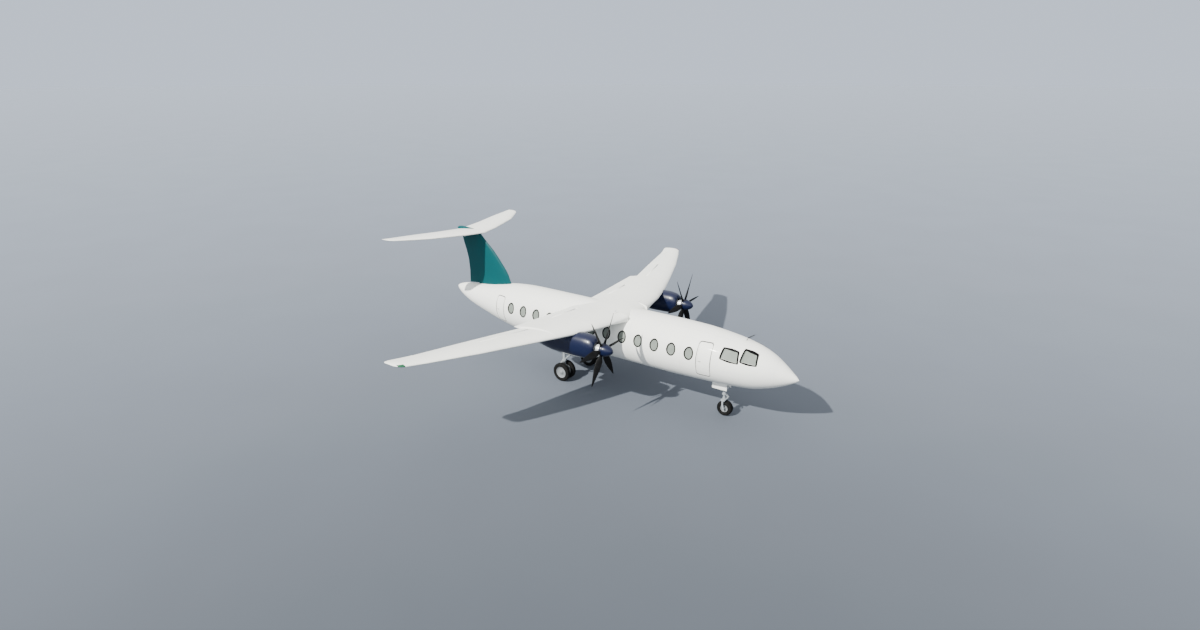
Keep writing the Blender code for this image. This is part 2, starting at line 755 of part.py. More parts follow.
def hang_surface(name, surface, fixed, side, ends, line, pin_radius, material):
    """A control surface in its cove, turning on a pin at each end."""
    inner, outer = (side * end for end in ends)
    cut_cove(fixed, surface, inner - side * END_GAP, outer + side * END_GAP, line)
    moving = control_surface(name, surface, inner, outer, line, material)
    root = surface.hinge(inner, line)
    tip = surface.hinge(outer, line)
    way = (tip - root).normalized()
    for end, outward in ((root, -way), (tip, way)):
        add_pin(moving, end - outward * PIN_ROOT, end + outward * PIN_REACH, pin_radius)
        add_bore(fixed, end + outward * BORE_START, end + outward * BORE_REACH, pin_radius)
    put_origin(moving, root)


def plate(name, x, outline):
    """A flat plate across the aircraft's side view, of (y, z) corners."""
    ends = (x - BRACKET_THICK / 2, x + BRACKET_THICK / 2)
    return loft(name, [[(at, y, z) for y, z in outline] for at in ends], None, False)


def flap_ring(x, front):
    """A flap's section: the wing's own, from the bay's front back, with a rounded nose."""
    lead, trail, height = wing_outline(x)
    start = WING.fraction(x, between(front, abs(x)))
    nose = FLAP_NOSE * aerofoil(start, wing_thick(x))
    fractions = [start + share * (1.0 - start) for share in FLAP_SHARES]
    fractions += [start + share * nose for share in FLAP_NOSE_SHARES]
    upper = []
    lower = []
    for fraction, share in zip(fractions, FLAP_THICK_SHARES):
        middle = WING.point(x, fraction, 0)
        half = Vector((0, 0, aerofoil(fraction, wing_thick(x)) * (trail - lead) * share))
        upper.append(middle + half)
        lower.append(middle - half)
    return upper + list(reversed(lower))


def hang_flap(name, side, ends, front, gaps, stations, fixed, material):
    """A flap in its bay, hung on two arms that turn on brackets below the wing."""
    inner, outer = (side * end for end in ends)

    def bay(x):
        y = between(front, abs(x))
        back, wall = y + BAY_REACH, y - RUNNING
        return [(back, BAY_LOW), (back, BAY_HIGH), (wall, BAY_HIGH), (wall, BAY_LOW)]
    cutter = span_prism("bay", inner - side * gaps[0], outer + side * gaps[1], bay)
    combine(fixed, cutter, "DIFFERENCE")
    flap = loft(name, [flap_ring(x, front) for x in (inner, (inner + outer) / 2, outer)], material)

    def pivot_at(x):
        y = between(front, abs(x)) + FLAP_PIVOT_BACK
        return WING.middle(x, y) - Vector((0, 0, FLAP_PIVOT_DROP))

    def on_line(x, back):
        middle = WING.middle(x, between(front, abs(x)) + back)
        return middle.y, middle.z

    first, last = (pivot_at(side * station) for station in stations)
    way = (last - first).normalized()
    for station in stations:
        arm_x = side * station
        pivot = first.lerp(last, (arm_x - first.x) / (last.x - first.x))
        front_y, front_z = on_line(arm_x, 0.0)
        arm = [on_line(arm_x, back) for back in ARM_TOP]
        arm += [(pivot.y + back, pivot.z + up) for back, up in ARM_FOOT]
        arm.append((front_y + ARM_KNEE[0], front_z + ARM_KNEE[1]))
        combine(flap, plate("arm", arm_x, arm), "UNION")

        bracket_x = arm_x + side * BRACKET_STEP
        hold = first.lerp(last, (bracket_x - first.x) / (last.x - first.x))
        bracket = [on_line(bracket_x, back) for back in BRACKET_TOP]
        bracket += [(hold.y + back, hold.z + up) for back, up in BRACKET_FOOT]
        bracket.append((on_line(bracket_x, BRACKET_KNEE[0])[0], hold.z + BRACKET_KNEE[1]))
        combine(fixed, plate("bracket", bracket_x, bracket), "UNION")

        end = pivot + way * FLAP_PIN_REACH
        add_bore(fixed, pivot + way * BRACKET_THICK / 2, end, FLAP_PIN_RADIUS)
        add_pin(flap, pivot - way * BRACKET_THICK / 4, end, FLAP_PIN_RADIUS)
    put_origin(flap, first)


def build_wing():
    white = paint("wing_white", WHITE, 0.32)
    control = paint("control_white", WHITE, 0.35)
    places = [-x for x in reversed(CENTRE_PLACES)] + CENTRE_PLACES
    centre = loft("wing_centre", [WING.ring(x) for x in places], white)
    combine(centre, fuselage_body("saddle", CABIN_PLACES[-2:], None, SKIN_GAP), "DIFFERENCE")
    for side in (1, -1):
        x, y = side * WING_JACK[0], WING_JACK[1]
        add_jack_pad(centre, WING.point(x, WING.fraction(x, y), -1))
    for side in (1, -1):
        label = side_name(side)
        outer = loft(f"outer_wing_{label}", [WING.ring(side * x) for x in OUTER_PLACES], white)
        hang_flap(f"inner_flap_{label}", side, INNER_FLAP, FLAP_FRONT, INNER_FLAP_GAPS,
                  INNER_BRACKETS, centre, control)
        hang_flap(f"outer_flap_{label}", side, OUTER_FLAP, OUTER_FLAP_FRONT, OUTER_FLAP_GAPS,
                  OUTER_BRACKETS, outer, control)
        hang_surface(f"aileron_{label}", WING, outer, side, AILERON, AILERON_HINGE,
                     AILERON_PIN_RADIUS, control)


# Engines: a cowl open at its mouth, the engine in it, and a six-bladed propeller.
def nacelle_ring(side, y):
    wide = smooth(NACELLE, y, 1)
    tall = smooth(NACELLE, y, 2)
    height = smooth(NACELLE, y, 3)
    points = []
    for k in range(NACELLE_SIDES):
        turn = 2 * math.pi * k / NACELLE_SIDES
        out = wide * squared(math.sin(turn), NACELLE_SQUARE)
        up = tall * squared(math.cos(turn), NACELLE_SQUARE)
        points.append((side * ENGINE_X + out, y, height + up))
    return points


def wing_cutters(side):
    """The wing over one engine, and all the room above it."""
    places = sorted(side * x for x in CENTRE_PLACES[-3:])
    skin = loft("wing skin", [WING.ring(x, SKIN_GAP) for x in places], None)
    above = []
    for x in places:
        line = [WING.point(x, f, 0) for f in FRACTIONS + [0.0]]
        line[0].y += BEHIND_WING
        above.append([Vector((x, p.y, ABOVE_WING)) for p in line] + list(reversed(line)))
    return [skin, loft("above wing", above, None, False)]


def build_nacelle(side, shaft):
    cowl = loft(f"nacelle_{side_name(side)}", [nacelle_ring(side, y) for y in NACELLE_PLACES],
                paint("nacelle_navy", NAVY, 0.18))
    inside = [(COWL_MOUTH_FRONT, 0.0), (COWL_MOUTH_FRONT, COWL_MOUTH), (COWL_INSIDE_FRONT, COWL_MOUTH),
              (COWL_INSIDE_FRONT, COWL_INSIDE), (ENGINE_BACK + SEAT, COWL_INSIDE), (ENGINE_BACK + SEAT, 0.0)]
    combine(cowl, turned("inside", inside, shaft, (0, 1, 0), None), "DIFFERENCE")
    for cutter in wing_cutters(side):
        combine(cowl, cutter, "DIFFERENCE")


def build_engine(side, shaft):
    """The engine as one plain block, with its gearbox and propeller shaft ahead."""
    shaft_end = PROP_Y + SHAFT_END
    profile = [(shaft_end, 0.0), (shaft_end, SHAFT_RADIUS), (GEARBOX_FRONT, SHAFT_RADIUS),
               (GEARBOX_FRONT, GEARBOX_RADIUS), (ENGINE_FRONT, GEARBOX_RADIUS),
               (ENGINE_FRONT, ENGINE_RADIUS), (ENGINE_BACK, ENGINE_RADIUS), (ENGINE_BACK, 0.0)]
    turned(f"engine_{side_name(side)}", profile, shaft, (0, 1, 0),
           paint("engine_silver", SILVER, 0.35, 0.8), ROUND, math.pi / ROUND)


def blade_rings(hub, angle):
    """Sections of one blade from its root in the hub out to its tip."""
    out = Vector((math.cos(angle), 0, math.sin(angle)))
    around = Vector((-math.sin(angle), 0, math.cos(angle)))
    rings = []
    for reach, chord, thick, degrees in BLADE_PLAN:
        pitch = math.radians(degrees)
        lead = around * math.cos(pitch) - Vector((0, 1, 0)) * math.sin(pitch)
        face = out.cross(lead)
        ring = []
        for k in range(BLADE_SIDES):
            turn = 2 * math.pi * k / BLADE_SIDES
            across = lead * (chord / 2 * math.cos(turn)) + face * (thick / 2 * math.sin(turn))
            ring.append(hub + out * reach + across)
        rings.append(ring)
    return rings


def build_propeller(side, hub):
    black = paint("blade_black", BLACK, 0.45)
    back = HUB_BACK - PROP_Y
    front = HUB_FRONT - PROP_Y
    drum = [(back, 0.0), (back, HUB_RADIUS - HUB_EDGE), (back - HUB_EDGE, HUB_RADIUS),
            (front, HUB_RADIUS), (front, 0.0)]
    propeller = turned(f"propeller_{side_name(side)}", drum, hub, (0, 1, 0), black)
    for k in range(BLADES):
        combine(propeller, loft("blade", blade_rings(hub, 2 * math.pi * k / BLADES), None), "UNION")
    hole = rod_profile(2 * back, round_bore(SHAFT_RADIUS, ROUND))
    combine(propeller, turned("shaft hole", hole, hub, (0, 1, 0), None), "DIFFERENCE")
    paint_whole(propeller, black)
    put_origin(propeller, hub)


def build_spinner(side, hub):
    base = HUB_FRONT - PROP_Y - SEAT
    tip = SPINNER_TIP - PROP_Y
    outline = [(base, 0.0)]
    for k in range(SPINNER_STEPS):
        along = k / SPINNER_STEPS
        radius = HUB_RADIUS * math.sqrt(1.0 - along ** SPINNER_FULLNESS) * (1.0 - SPINNER_TAPER * along)
        outline.append((base + (tip - base) * along, radius))
    outline.append((tip, 0.0))
    navy = paint("spinner_navy", NAVY, 0.18)
    put_origin(turned(f"spinner_{side_name(side)}", outline, hub, (0, 1, 0), navy), hub)


def build_engines():
    for side in (1, -1):
        build_nacelle(side, Vector((side * ENGINE_X, 0, HUB_Z)))
        build_engine(side, Vector((side * ENGINE_X, 0, HUB_Z)))
        build_propeller(side, Vector((side * ENGINE_X, PROP_Y, HUB_Z)))
        build_spinner(side, Vector((side * ENGINE_X, PROP_Y, HUB_Z)))


# Tail: fin and rudder on the fuselage, tailplane and elevators on the fin's top.
def fin_half(y, z):
    """Half the fin's thickness at a point of its side view."""
    lead, trail = between(FIN_LEAD, z), between(FIN_TRAIL, z)
    return aerofoil((y - lead) / (trail - lead), FIN_THICK) * (trail - lead)


def fin_ring(z):
    lead, trail = between(FIN_LEAD, z), between(FIN_TRAIL, z)
    places = [lead + f * (trail - lead) for f in FRACTIONS]
    port = [Vector((fin_half(y, z), y, z)) for y in places]
    starboard = [Vector((-fin_half(y, z), y, z)) for y in reversed(places)]
    return port + [Vector((0, lead, z))] + starboard


def rudder_hinge(z):
    return Vector((0, between(RUDDER_HINGE, z), z))


def rudder_cove_ring(z):
    hinge = rudder_hinge(z)
    radius = fin_half(hinge.y, max(z, RUDDER_BOTTOM)) + RUNNING
    lip = hinge.y - COVE_LIP * radius
    ring = [(RUDDER_COVE_HALF, hinge.y + COVE_REACH, z), (RUDDER_COVE_HALF, lip, z)]
    for turn in steps(COVE_FROM, COVE_FROM + COVE_SWEEP, NOSE_STEPS + 1):
        ring.append((radius * math.sin(turn), hinge.y + radius * math.cos(turn), z))
    return ring + [(-RUDDER_COVE_HALF, lip, z), (-RUDDER_COVE_HALF, hinge.y + COVE_REACH, z)]


def rudder_ring(z):
    """The rudder's section. Its foot runs down towards the back, like the tail's crown below it."""
    hinge = rudder_hinge(z)
    radius = fin_half(hinge.y, z)
    reach = between(FIN_TRAIL, z) - hinge.y
    places = [hinge.y + reach * share for share in SURFACE_SHARES]
    ring = [Vector((fin_half(y, z), y, z)) for y in places]
    for turn in steps(math.pi / 2, 3 * math.pi / 2, NOSE_STEPS + 1)[1:-1]:
        ring.append(Vector((radius * math.sin(turn), hinge.y + radius * math.cos(turn), z)))
    ring += [Vector((-fin_half(y, z), y, z)) for y in reversed(places)]
    if z == RUDDER_BOTTOM:
        for point in ring:
            point.z -= RUDDER_FOOT_SLOPE * max(0.0, point.y - hinge.y)
    return ring


def stab_outline(x):
    trail = between(STAB_TRAIL, abs(x))
    squeeze = tip_squeeze(x, STAB_TIP_START, STAB_TIP)
    share = STAB_TIP_CHORD + (1.0 - STAB_TIP_CHORD) * squeeze
    lead = trail + (between(STAB_LEAD, abs(x)) - trail) * share
    return lead, trail, STAB_Z + STAB_RISE * abs(x)


def stab_thick(x):
    squeeze = tip_squeeze(x, STAB_TIP_START, STAB_TIP)
    return STAB_THICK * (TIP_THICK + (1.0 - TIP_THICK) * squeeze)


STAB = Surface(stab_outline, stab_thick, 0.0)


def build_fin_and_rudder(tail):
    teal = paint("fin_teal", TEAL, 0.25)
    fin = loft("fin", [fin_ring(z) for z in FIN_LEVELS], teal)
    combine(fin, fuselage_body("crown", tail_places(), None, SKIN_GAP), "DIFFERENCE")
    combine(fin, loft("seat", [STAB.ring(x, SKIN_GAP) for x in STAB_PLACES], None), "DIFFERENCE")
    cove_levels = [RUDDER_COVE_BOTTOM] + RUDDER_LEVELS[:-1] + [RUDDER_TOP + END_GAP]
    combine(fin, loft("cove", [rudder_cove_ring(z) for z in cove_levels], None, False), "DIFFERENCE")

    # Pins carry the rudder in the tail below it and in the fin above it.
    rudder = loft("rudder", [rudder_ring(z) for z in RUDDER_LEVELS], teal)
    low, high = rudder_hinge(RUDDER_BOTTOM), rudder_hinge(RUDDER_TOP)
    way = (high - low).normalized()
    add_pin(rudder, low + way * PIN_ROOT, low - way * RUDDER_LOW_PIN, RUDDER_PIN_RADIUS)
    add_pin(rudder, high - way * PIN_ROOT, high + way * RUDDER_HIGH_PIN, RUDDER_PIN_RADIUS)
    add_bore(tail, low + way * BORE_START, low - way * (RUDDER_LOW_PIN + 0.005), RUDDER_PIN_RADIUS)
    add_bore(fin, high + way * BORE_START, high + way * (RUDDER_HIGH_PIN + 0.005), RUDDER_PIN_RADIUS)
    put_origin(rudder, low)


def build_tailplane():
    stab = loft("tailplane", [STAB.ring(x) for x in STAB_PLACES], paint("tail_white", WHITE, 0.32))
    for side in (1, -1):
        hang_surface(f"elevator_{side_name(side)}", STAB, stab, side, ELEVATOR, ELEVATOR_HINGE,
                     ELEVATOR_PIN_RADIUS, paint("control_white", WHITE, 0.35))


def build_bullet():
    """The fairing along the top of the tailplane's middle, growing to a blunt end."""
    rings = []
    for t in steps(0.0, 1.0, BULLET_RINGS):
        y = BULLET_FRONT + (BULLET_BACK - BULLET_FRONT) * t
        size = BULLET_EDGE + BULLET_SIZE * t ** 0.7 * math.sqrt(1.0 - t ** 8)
        ring = []
        for turn in steps(-math.pi / 2, math.pi / 2, BULLET_SIDES + 1):
            height = FIN_TOP + SEAT + size * math.cos(turn)
            ring.append(Vector((BULLET_WIDTH * size * math.sin(turn), y, height)))
        rings.append(ring)
    bullet = loft("tail_bullet", rings, paint("fin_teal", TEAL, 0.25))
    middle = [-STAB_HALF_PLACES[0], 0.0, STAB_HALF_PLACES[0]]
    combine(bullet, loft("seat", [STAB.ring(x, SKIN_GAP) for x in middle], None), "DIFFERENCE")


# Main gear: a fairing low on each side of the fuselage, a leg and twin wheels.
def tyre_profile(radius, width, rim):
    """A closed loop of (along, radius) points for a tyre's section."""
    points = [(-width / 2 * out, rim + up * (radius - rim)) for out, up in TYRE_SECTION]
    return points + [(-along, high) for along, high in reversed(points)]


def sponson_ring(side, t):
    size = max(SPONSON_END, math.sin(math.pi * t ** SPONSON_SKEW) ** SPONSON_BLUNT)
    y = SPONSON_FRONT + (SPONSON_BACK - SPONSON_FRONT) * t
    ring = []
    for k in range(SPONSON_SIDES):
        turn = 2 * math.pi * k / SPONSON_SIDES
        out = SPONSON_HALF_WIDTH * size * squared(math.sin(turn), SPONSON_SQUARE)
        up = SPONSON_HALF_HEIGHT * size * squared(math.cos(turn), SPONSON_SQUARE)
        ring.append(Vector((side * SPONSON_X + out, y, SPONSON_Z + up)))
    return ring


def build_main_leg(side, fairing, grey):
    """A leg with its brace. Both end in sockets in the fairing above."""
    foot = Vector((side * MAIN_X, MAIN_Y, 0))
    top = foot + Vector((0, 0, MAIN_LEG_TOP + SEAT))
    socket = rod_profile(MAIN_LEG_TOP, MAIN_LEG_RADIUS + SEAT)
    combine(fairing, turned("socket", socket, top, (0, 0, -1), None), "DIFFERENCE")

    low = MAIN_TYRE_RADIUS - MAIN_FOOT_DROP
    profile = [(low, 0.0), (low, MAIN_SLIDER_RADIUS), (MAIN_LEG_BOTTOM, MAIN_SLIDER_RADIUS),
               (MAIN_LEG_BOTTOM, MAIN_LEG_RADIUS), (MAIN_LEG_TOP, MAIN_LEG_RADIUS), (MAIN_LEG_TOP, 0.0)]
    leg = turned(f"main_leg_{side_name(side)}", profile, foot, (0, 0, 1), grey)
    axle = foot + Vector((0, 0, MAIN_TYRE_RADIUS))
    boss = rod_profile(2 * MAIN_BOSS_HALF, MAIN_BOSS_RADIUS)
    start = axle - Vector((MAIN_BOSS_HALF, 0, 0))
    combine(leg, turned("boss", boss, start, (1, 0, 0), None), "UNION")
    bore = rod_profile(4 * MAIN_BOSS_HALF, round_bore(AXLE_RADIUS, ROUND))
    start = axle - Vector((2 * MAIN_BOSS_HALF, 0, 0))
    combine(leg, turned("bore", bore, start, (1, 0, 0), None), "DIFFERENCE")

    brace_low = foot + Vector((0, *BRACE_LOW))
    brace_high = foot + Vector((0, *BRACE_HIGH))
    beyond = brace_high + (brace_high - brace_low).normalized() * SEAT
    add_pin(leg, brace_low, brace_high, BRACE_RADIUS)
    add_bore(fairing, brace_low, beyond, BRACE_RADIUS)


def build_main_wheels(side, rubber, hub_paint):
    axle = Vector((side * MAIN_X, MAIN_Y, MAIN_TYRE_RADIUS))
    near = MAIN_HALF_SPACING - MAIN_TYRE_WIDTH * BRIM_SHARE
    far = MAIN_HALF_SPACING + MAIN_TYRE_WIDTH * BRIM_SHARE
    rim = MAIN_RIM - SEAT
    half = [(near, AXLE_RADIUS), (near, rim), (far, rim), (far - FLANGE[0], rim - FLANGE[1]),
            (far - DISH_DEPTH, DISH_RADIUS), (far + AXLE_CAP[1], AXLE_CAP[0]), (far + AXLE_CAP[1], 0.0)]
    hubs = turned(f"main_hubs_{side_name(side)}", mirrored(half), axle, (1, 0, 0), hub_paint)
    put_origin(hubs, axle)
    for place, word in ((MAIN_HALF_SPACING, "outer"), (-MAIN_HALF_SPACING, "inner")):
        name = f"main_tyre_{side_name(side)}_{word}"
        profile = tyre_profile(MAIN_TYRE_RADIUS, MAIN_TYRE_WIDTH, MAIN_RIM)
        tyre = ring_turned(name, profile, axle + Vector((side * place, 0, 0)), (1, 0, 0), rubber)
        put_origin(tyre, axle)


def build_main_gear():
    grey = paint("gear_grey", GREY, 0.38, 0.2)
    for side in (1, -1):
        rings = [sponson_ring(side, t) for t in steps(0.0, 1.0, SPONSON_RINGS)]
        fairing = loft(f"gear_fairing_{side_name(side)}", rings, paint("fairing_white", WHITE, 0.32))
        combine(fairing, fuselage_body("side", cabin_places()[4:], None, SKIN_GAP), "DIFFERENCE")
        build_main_leg(side, fairing, grey)
        build_main_wheels(side, paint("tyre_rubber", RUBBER, 0.85), paint("hub_grey", GREY, 0.40, 0.3))


# Nose gear: a strut in an open bay, a steering fork, one wheel and two doors.
def build_nose_strut(sections, foot, grey):
    for section in sections:
        low = (-NOSE_BAY_HALF_WIDTH, NOSE_BAY[0], NOSE_BAY_BOTTOM)
        high = (NOSE_BAY_HALF_WIDTH, NOSE_BAY[1], NOSE_STRUT_TOP + SEAT)
        combine(section, block("bay", low, high, None), "DIFFERENCE")
    start = foot + Vector((0, 0, NOSE_STRUT_BOTTOM))
    length = NOSE_STRUT_TOP - NOSE_STRUT_BOTTOM
    strut = turned("nose_strut", rod_profile(length, NOSE_STRUT_RADIUS), start, (0, 0, 1), grey)
    depth = NOSE_PISTON_TOP + 2 * NOSE_PISTON_ROOM - NOSE_STRUT_BOTTOM
    bore = rod_profile(depth, round_bore(NOSE_PISTON_RADIUS, ROUND))
    start -= Vector((0, 0, NOSE_PISTON_ROOM))
    combine(strut, turned("bore", bore, start, (0, 0, 1), None), "DIFFERENCE")


def build_nose_fork(foot, axle, grey):
    bottom = CROWN_LOW + NOSE_PISTON_ROOM
    piston = rod_profile(NOSE_PISTON_TOP - bottom, NOSE_PISTON_RADIUS)
    start = foot + Vector((0, 0, bottom))
    fork = turned("nose_fork", piston, start, (0, 0, 1), grey, ROUND, math.pi / ROUND)
    low = (-FORK_OUTSIDE, NOSE_AXLE_Y - CROWN_AHEAD, CROWN_LOW)
    high = (FORK_OUTSIDE, NOSE_STRUT_Y + CROWN_BEHIND, CROWN_HIGH)
    combine(fork, block("crown", low, high, None), "UNION")
    for side in (1, -1):
        low = (NOSE_AXLE_Y + FORK_ARM[0], NOSE_TYRE_RADIUS - FORK_FOOT)
        high = (NOSE_AXLE_Y + FORK_ARM[1], CROWN_HIGH)
        combine(fork, side_block("arm", side, FORK_INSIDE, FORK_OUTSIDE, low, high), "UNION")
    bore = rod_profile(3 * FORK_OUTSIDE, round_bore(NOSE_PIN_RADIUS, ROUND))
    start = axle - Vector((1.5 * FORK_OUTSIDE, 0, 0))
    combine(fork, turned("bore", bore, start, (1, 0, 0), None), "DIFFERENCE")
    put_origin(fork, foot + Vector((0, 0, CROWN_HIGH)))


def build_nose_wheel(axle):
    brim = NOSE_TYRE_WIDTH * BRIM_SHARE
    rim = NOSE_RIM - SEAT
    boss, boss_radius = NOSE_BOSS
    half = [(brim, rim), (brim - NOSE_FLANGE[0], rim - NOSE_FLANGE[1]),
            (brim - NOSE_DISH_DEPTH, NOSE_DISH_RADIUS), (boss, boss_radius), (boss, NOSE_PIN_RADIUS),
            (NOSE_PIN_END, NOSE_PIN_RADIUS), (NOSE_PIN_END, 0.0)]
    hub = turned("nose_hub", mirrored(half), axle, (1, 0, 0), paint("hub_grey", GREY, 0.40, 0.3))
    put_origin(hub, axle)
    profile = tyre_profile(NOSE_TYRE_RADIUS, NOSE_TYRE_WIDTH, NOSE_RIM)
    put_origin(ring_turned("nose_tyre", profile, axle, (1, 0, 0), paint("tyre_rubber", RUBBER, 0.85)), axle)


def build_nose_gear(nose, cabin):
    grey = paint("gear_grey", GREY, 0.38, 0.2)
    foot = Vector((0, NOSE_STRUT_Y, 0))
    axle = Vector((0, NOSE_AXLE_Y, NOSE_TYRE_RADIUS))
    build_nose_strut((nose, cabin), foot, grey)
    build_nose_fork(foot, axle, grey)
    build_nose_wheel(axle)
    outside = NOSE_BAY_HALF_WIDTH - SEAT
    inside = outside - NOSE_DOOR_THICK
    for side in (1, -1):
        low = (NOSE_DOOR[0], NOSE_DOOR_BOTTOM)
        high = (NOSE_DOOR[1], NOSE_DOOR_TOP)
        name = f"nose_gear_door_{side_name(side)}"
        door = side_block(name, side, inside, outside, low, high, paint("door_white", WHITE, 0.32))
        put_origin(door, (side * inside, sum(NOSE_DOOR) / 2, NOSE_DOOR_TOP))


for leftover in list(bpy.data.objects):
    bpy.data.objects.remove(leftover)

nose_section, cabin_section, tail_section = build_fuselage()
build_doors(cabin_section, tail_section)
build_wing()
build_engines()
build_fin_and_rudder(tail_section)
build_tailplane()
build_bullet()
build_main_gear()
build_nose_gear(nose_section, cabin_section)
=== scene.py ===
"""Twin turboprop airliner: its finished surfaces, fittings, floor, light and camera."""
import json
import math

import bmesh
import bpy
from mathutils import Matrix, Vector

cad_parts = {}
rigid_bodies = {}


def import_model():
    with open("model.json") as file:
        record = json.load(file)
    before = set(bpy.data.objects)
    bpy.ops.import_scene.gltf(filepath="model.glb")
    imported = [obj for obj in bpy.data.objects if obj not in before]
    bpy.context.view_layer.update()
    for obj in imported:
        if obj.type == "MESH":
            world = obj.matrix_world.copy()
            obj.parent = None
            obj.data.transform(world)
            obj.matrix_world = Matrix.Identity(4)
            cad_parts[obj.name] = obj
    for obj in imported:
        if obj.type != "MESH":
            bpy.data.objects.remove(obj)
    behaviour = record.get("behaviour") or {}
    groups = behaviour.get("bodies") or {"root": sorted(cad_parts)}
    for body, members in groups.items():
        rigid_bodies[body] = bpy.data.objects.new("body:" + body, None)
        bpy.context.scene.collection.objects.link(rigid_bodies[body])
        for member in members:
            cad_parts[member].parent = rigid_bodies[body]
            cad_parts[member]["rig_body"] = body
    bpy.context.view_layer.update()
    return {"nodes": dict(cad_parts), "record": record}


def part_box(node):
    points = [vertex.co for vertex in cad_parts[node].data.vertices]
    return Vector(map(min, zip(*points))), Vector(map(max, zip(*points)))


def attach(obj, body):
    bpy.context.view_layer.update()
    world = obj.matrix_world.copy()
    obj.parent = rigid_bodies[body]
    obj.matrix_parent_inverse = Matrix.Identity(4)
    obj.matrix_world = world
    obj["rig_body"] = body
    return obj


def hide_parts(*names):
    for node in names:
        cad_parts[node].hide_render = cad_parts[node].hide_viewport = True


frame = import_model()
nodes = frame["nodes"]
slot_of = {part["node"]: part["material_slot"] for part in frame["record"]["subparts"]}

# Camera. It looks down on the starboard side from ahead of the nose, as in the photograph,
# with a wide lens and the horizon near the top of the picture.
CAMERA_PLACE = Vector((-28.765, -20.027, 16.432))
CAMERA_YAW = 0.962
CAMERA_PITCH = 0.346
CAMERA_LENS = 20.27
camera_data = bpy.data.cameras.new("camera")
camera_data.sensor_fit = "HORIZONTAL"
camera_data.sensor_width = 36.0
camera_data.lens = CAMERA_LENS
camera_data.clip_end = 2000.0
camera = bpy.data.objects.new("camera", camera_data)
bpy.context.scene.collection.objects.link(camera)
camera.location = CAMERA_PLACE
camera.rotation_euler = (math.pi / 2 - CAMERA_PITCH, 0.0, -CAMERA_YAW)
bpy.context.scene.camera = camera

# Floor. A wide sheet of slightly rough grey-blue studio flooring. Its colour carries painted shade: it is darkest
# ahead of the aircraft and pales towards the distance, where it meets the backdrop's tone without an edge.
FLOOR_RADIUS = 900.0
FLOOR_FAR_COLOUR = (0.215, 0.245, 0.300)
PAINTED_SHADE_CENTRE = (-28.8, -20.0, 0.0)
PAINTED_SHADE_REACH = 27.0
PAINTED_SHADE_CORE = 20.0


def link(tree, start, end):
    tree.links.new(start, end)


def new_material(name, roughness=0.5, metallic=0.0):
    """A material whose Principled shader is ready for its patterns."""
    material = bpy.data.materials.new(name)
    material.use_nodes = True
    shader = material.node_tree.nodes["Principled BSDF"]
    shader.inputs["Roughness"].default_value = roughness
    shader.inputs["Metallic"].default_value = metallic
    return material, material.node_tree, shader


def feed(tree, socket, value):
    """Give a socket a number, a colour, a vector or another node's output."""
    if isinstance(value, (int, float)):
        socket.default_value = value
    elif isinstance(value, tuple):
        socket.default_value = (*value, 1.0) if socket.type == "RGBA" else value
    else:
        link(tree, value, socket)


def math_node(tree, operation, *values):
    node = tree.nodes.new("ShaderNodeMath")
    node.operation = operation
    for socket, value in zip(node.inputs, values):
        feed(tree, socket, value)
    return node.outputs[0]


def noise_node(tree, vector, scale, detail=3.0, roughness=0.5):
    node = tree.nodes.new("ShaderNodeTexNoise")
    for name, value in (("Vector", vector), ("Scale", scale), ("Detail", detail), ("Roughness", roughness)):
        feed(tree, node.inputs[name], value)
    return node.outputs["Fac"]


def range_node(tree, value, low, high, to_low, to_high):
    node = tree.nodes.new("ShaderNodeMapRange")
    node.interpolation_type = "SMOOTHSTEP"
    names = ("Value", "From Min", "From Max", "To Min", "To Max")
    for name, number in zip(names, (value, low, high, to_low, to_high)):
        feed(tree, node.inputs[name], number)
    return node.outputs["Result"]


def raise_grain(tree, shader, height, strength, distance):
    """Turn a height pattern into a finish's normals."""
    bump = tree.nodes.new("ShaderNodeBump")
    bump.inputs["Strength"].default_value = strength
    bump.inputs["Distance"].default_value = distance
    link(tree, height, bump.inputs["Height"])
    link(tree, bump.outputs["Normal"], shader.inputs["Normal"])


def object_coordinates(tree):
    return tree.nodes.new("ShaderNodeTexCoord").outputs["Object"]


def new_object(name, shape, material, smooth=True, angle=35.0):
    """Turn a bmesh into an object with its normals outward."""
    bmesh.ops.recalc_face_normals(shape, faces=shape.faces)
    mesh = bpy.data.meshes.new(name)
    shape.to_mesh(mesh)
    shape.free()
    if smooth:
        mesh.shade_smooth()
        mesh.set_sharp_from_angle(angle=math.radians(angle))
    thing = bpy.data.objects.new(name, mesh)
    bpy.context.scene.collection.objects.link(thing)
    if material is not None:
        mesh.materials.append(material)
    return thing


floor_material, tree, shader = new_material("studio_floor", 0.8)
shader.inputs["Specular IOR Level"].default_value = 0.15
place = object_coordinates(tree)
away = tree.nodes.new("ShaderNodeVectorMath")
away.operation = "DISTANCE"
away.inputs[1].default_value = PAINTED_SHADE_CENTRE
link(tree, place, away.inputs[0])
# Painted shade: the floor's colour darkens towards a place ahead of the aircraft and fades out with distance.
near = math_node(tree, "POWER", math_node(tree, "ADD", math_node(tree, "POWER", away.outputs["Value"], 4.0),
                                          PAINTED_SHADE_CORE ** 4), 0.25)
fade = math_node(tree, "POWER", math.e, math_node(tree, "DIVIDE", -PAINTED_SHADE_REACH, near))
cloud = range_node(tree, noise_node(tree, place, 0.15), 0.3, 0.7, 0.985, 1.015)
toned = tree.nodes.new("ShaderNodeVectorMath")
toned.operation = "SCALE"
toned.inputs[0].default_value = FLOOR_FAR_COLOUR
link(tree, math_node(tree, "MULTIPLY", fade, cloud), toned.inputs["Scale"])
link(tree, toned.outputs[0], shader.inputs["Base Color"])
raise_grain(tree, shader, noise_node(tree, place, 60.0), 0.05, 0.002)
shape = bmesh.new()
bmesh.ops.create_circle(shape, cap_ends=True, segments=96, radius=FLOOR_RADIUS)
floor = new_object("floor", shape, floor_material, smooth=False)

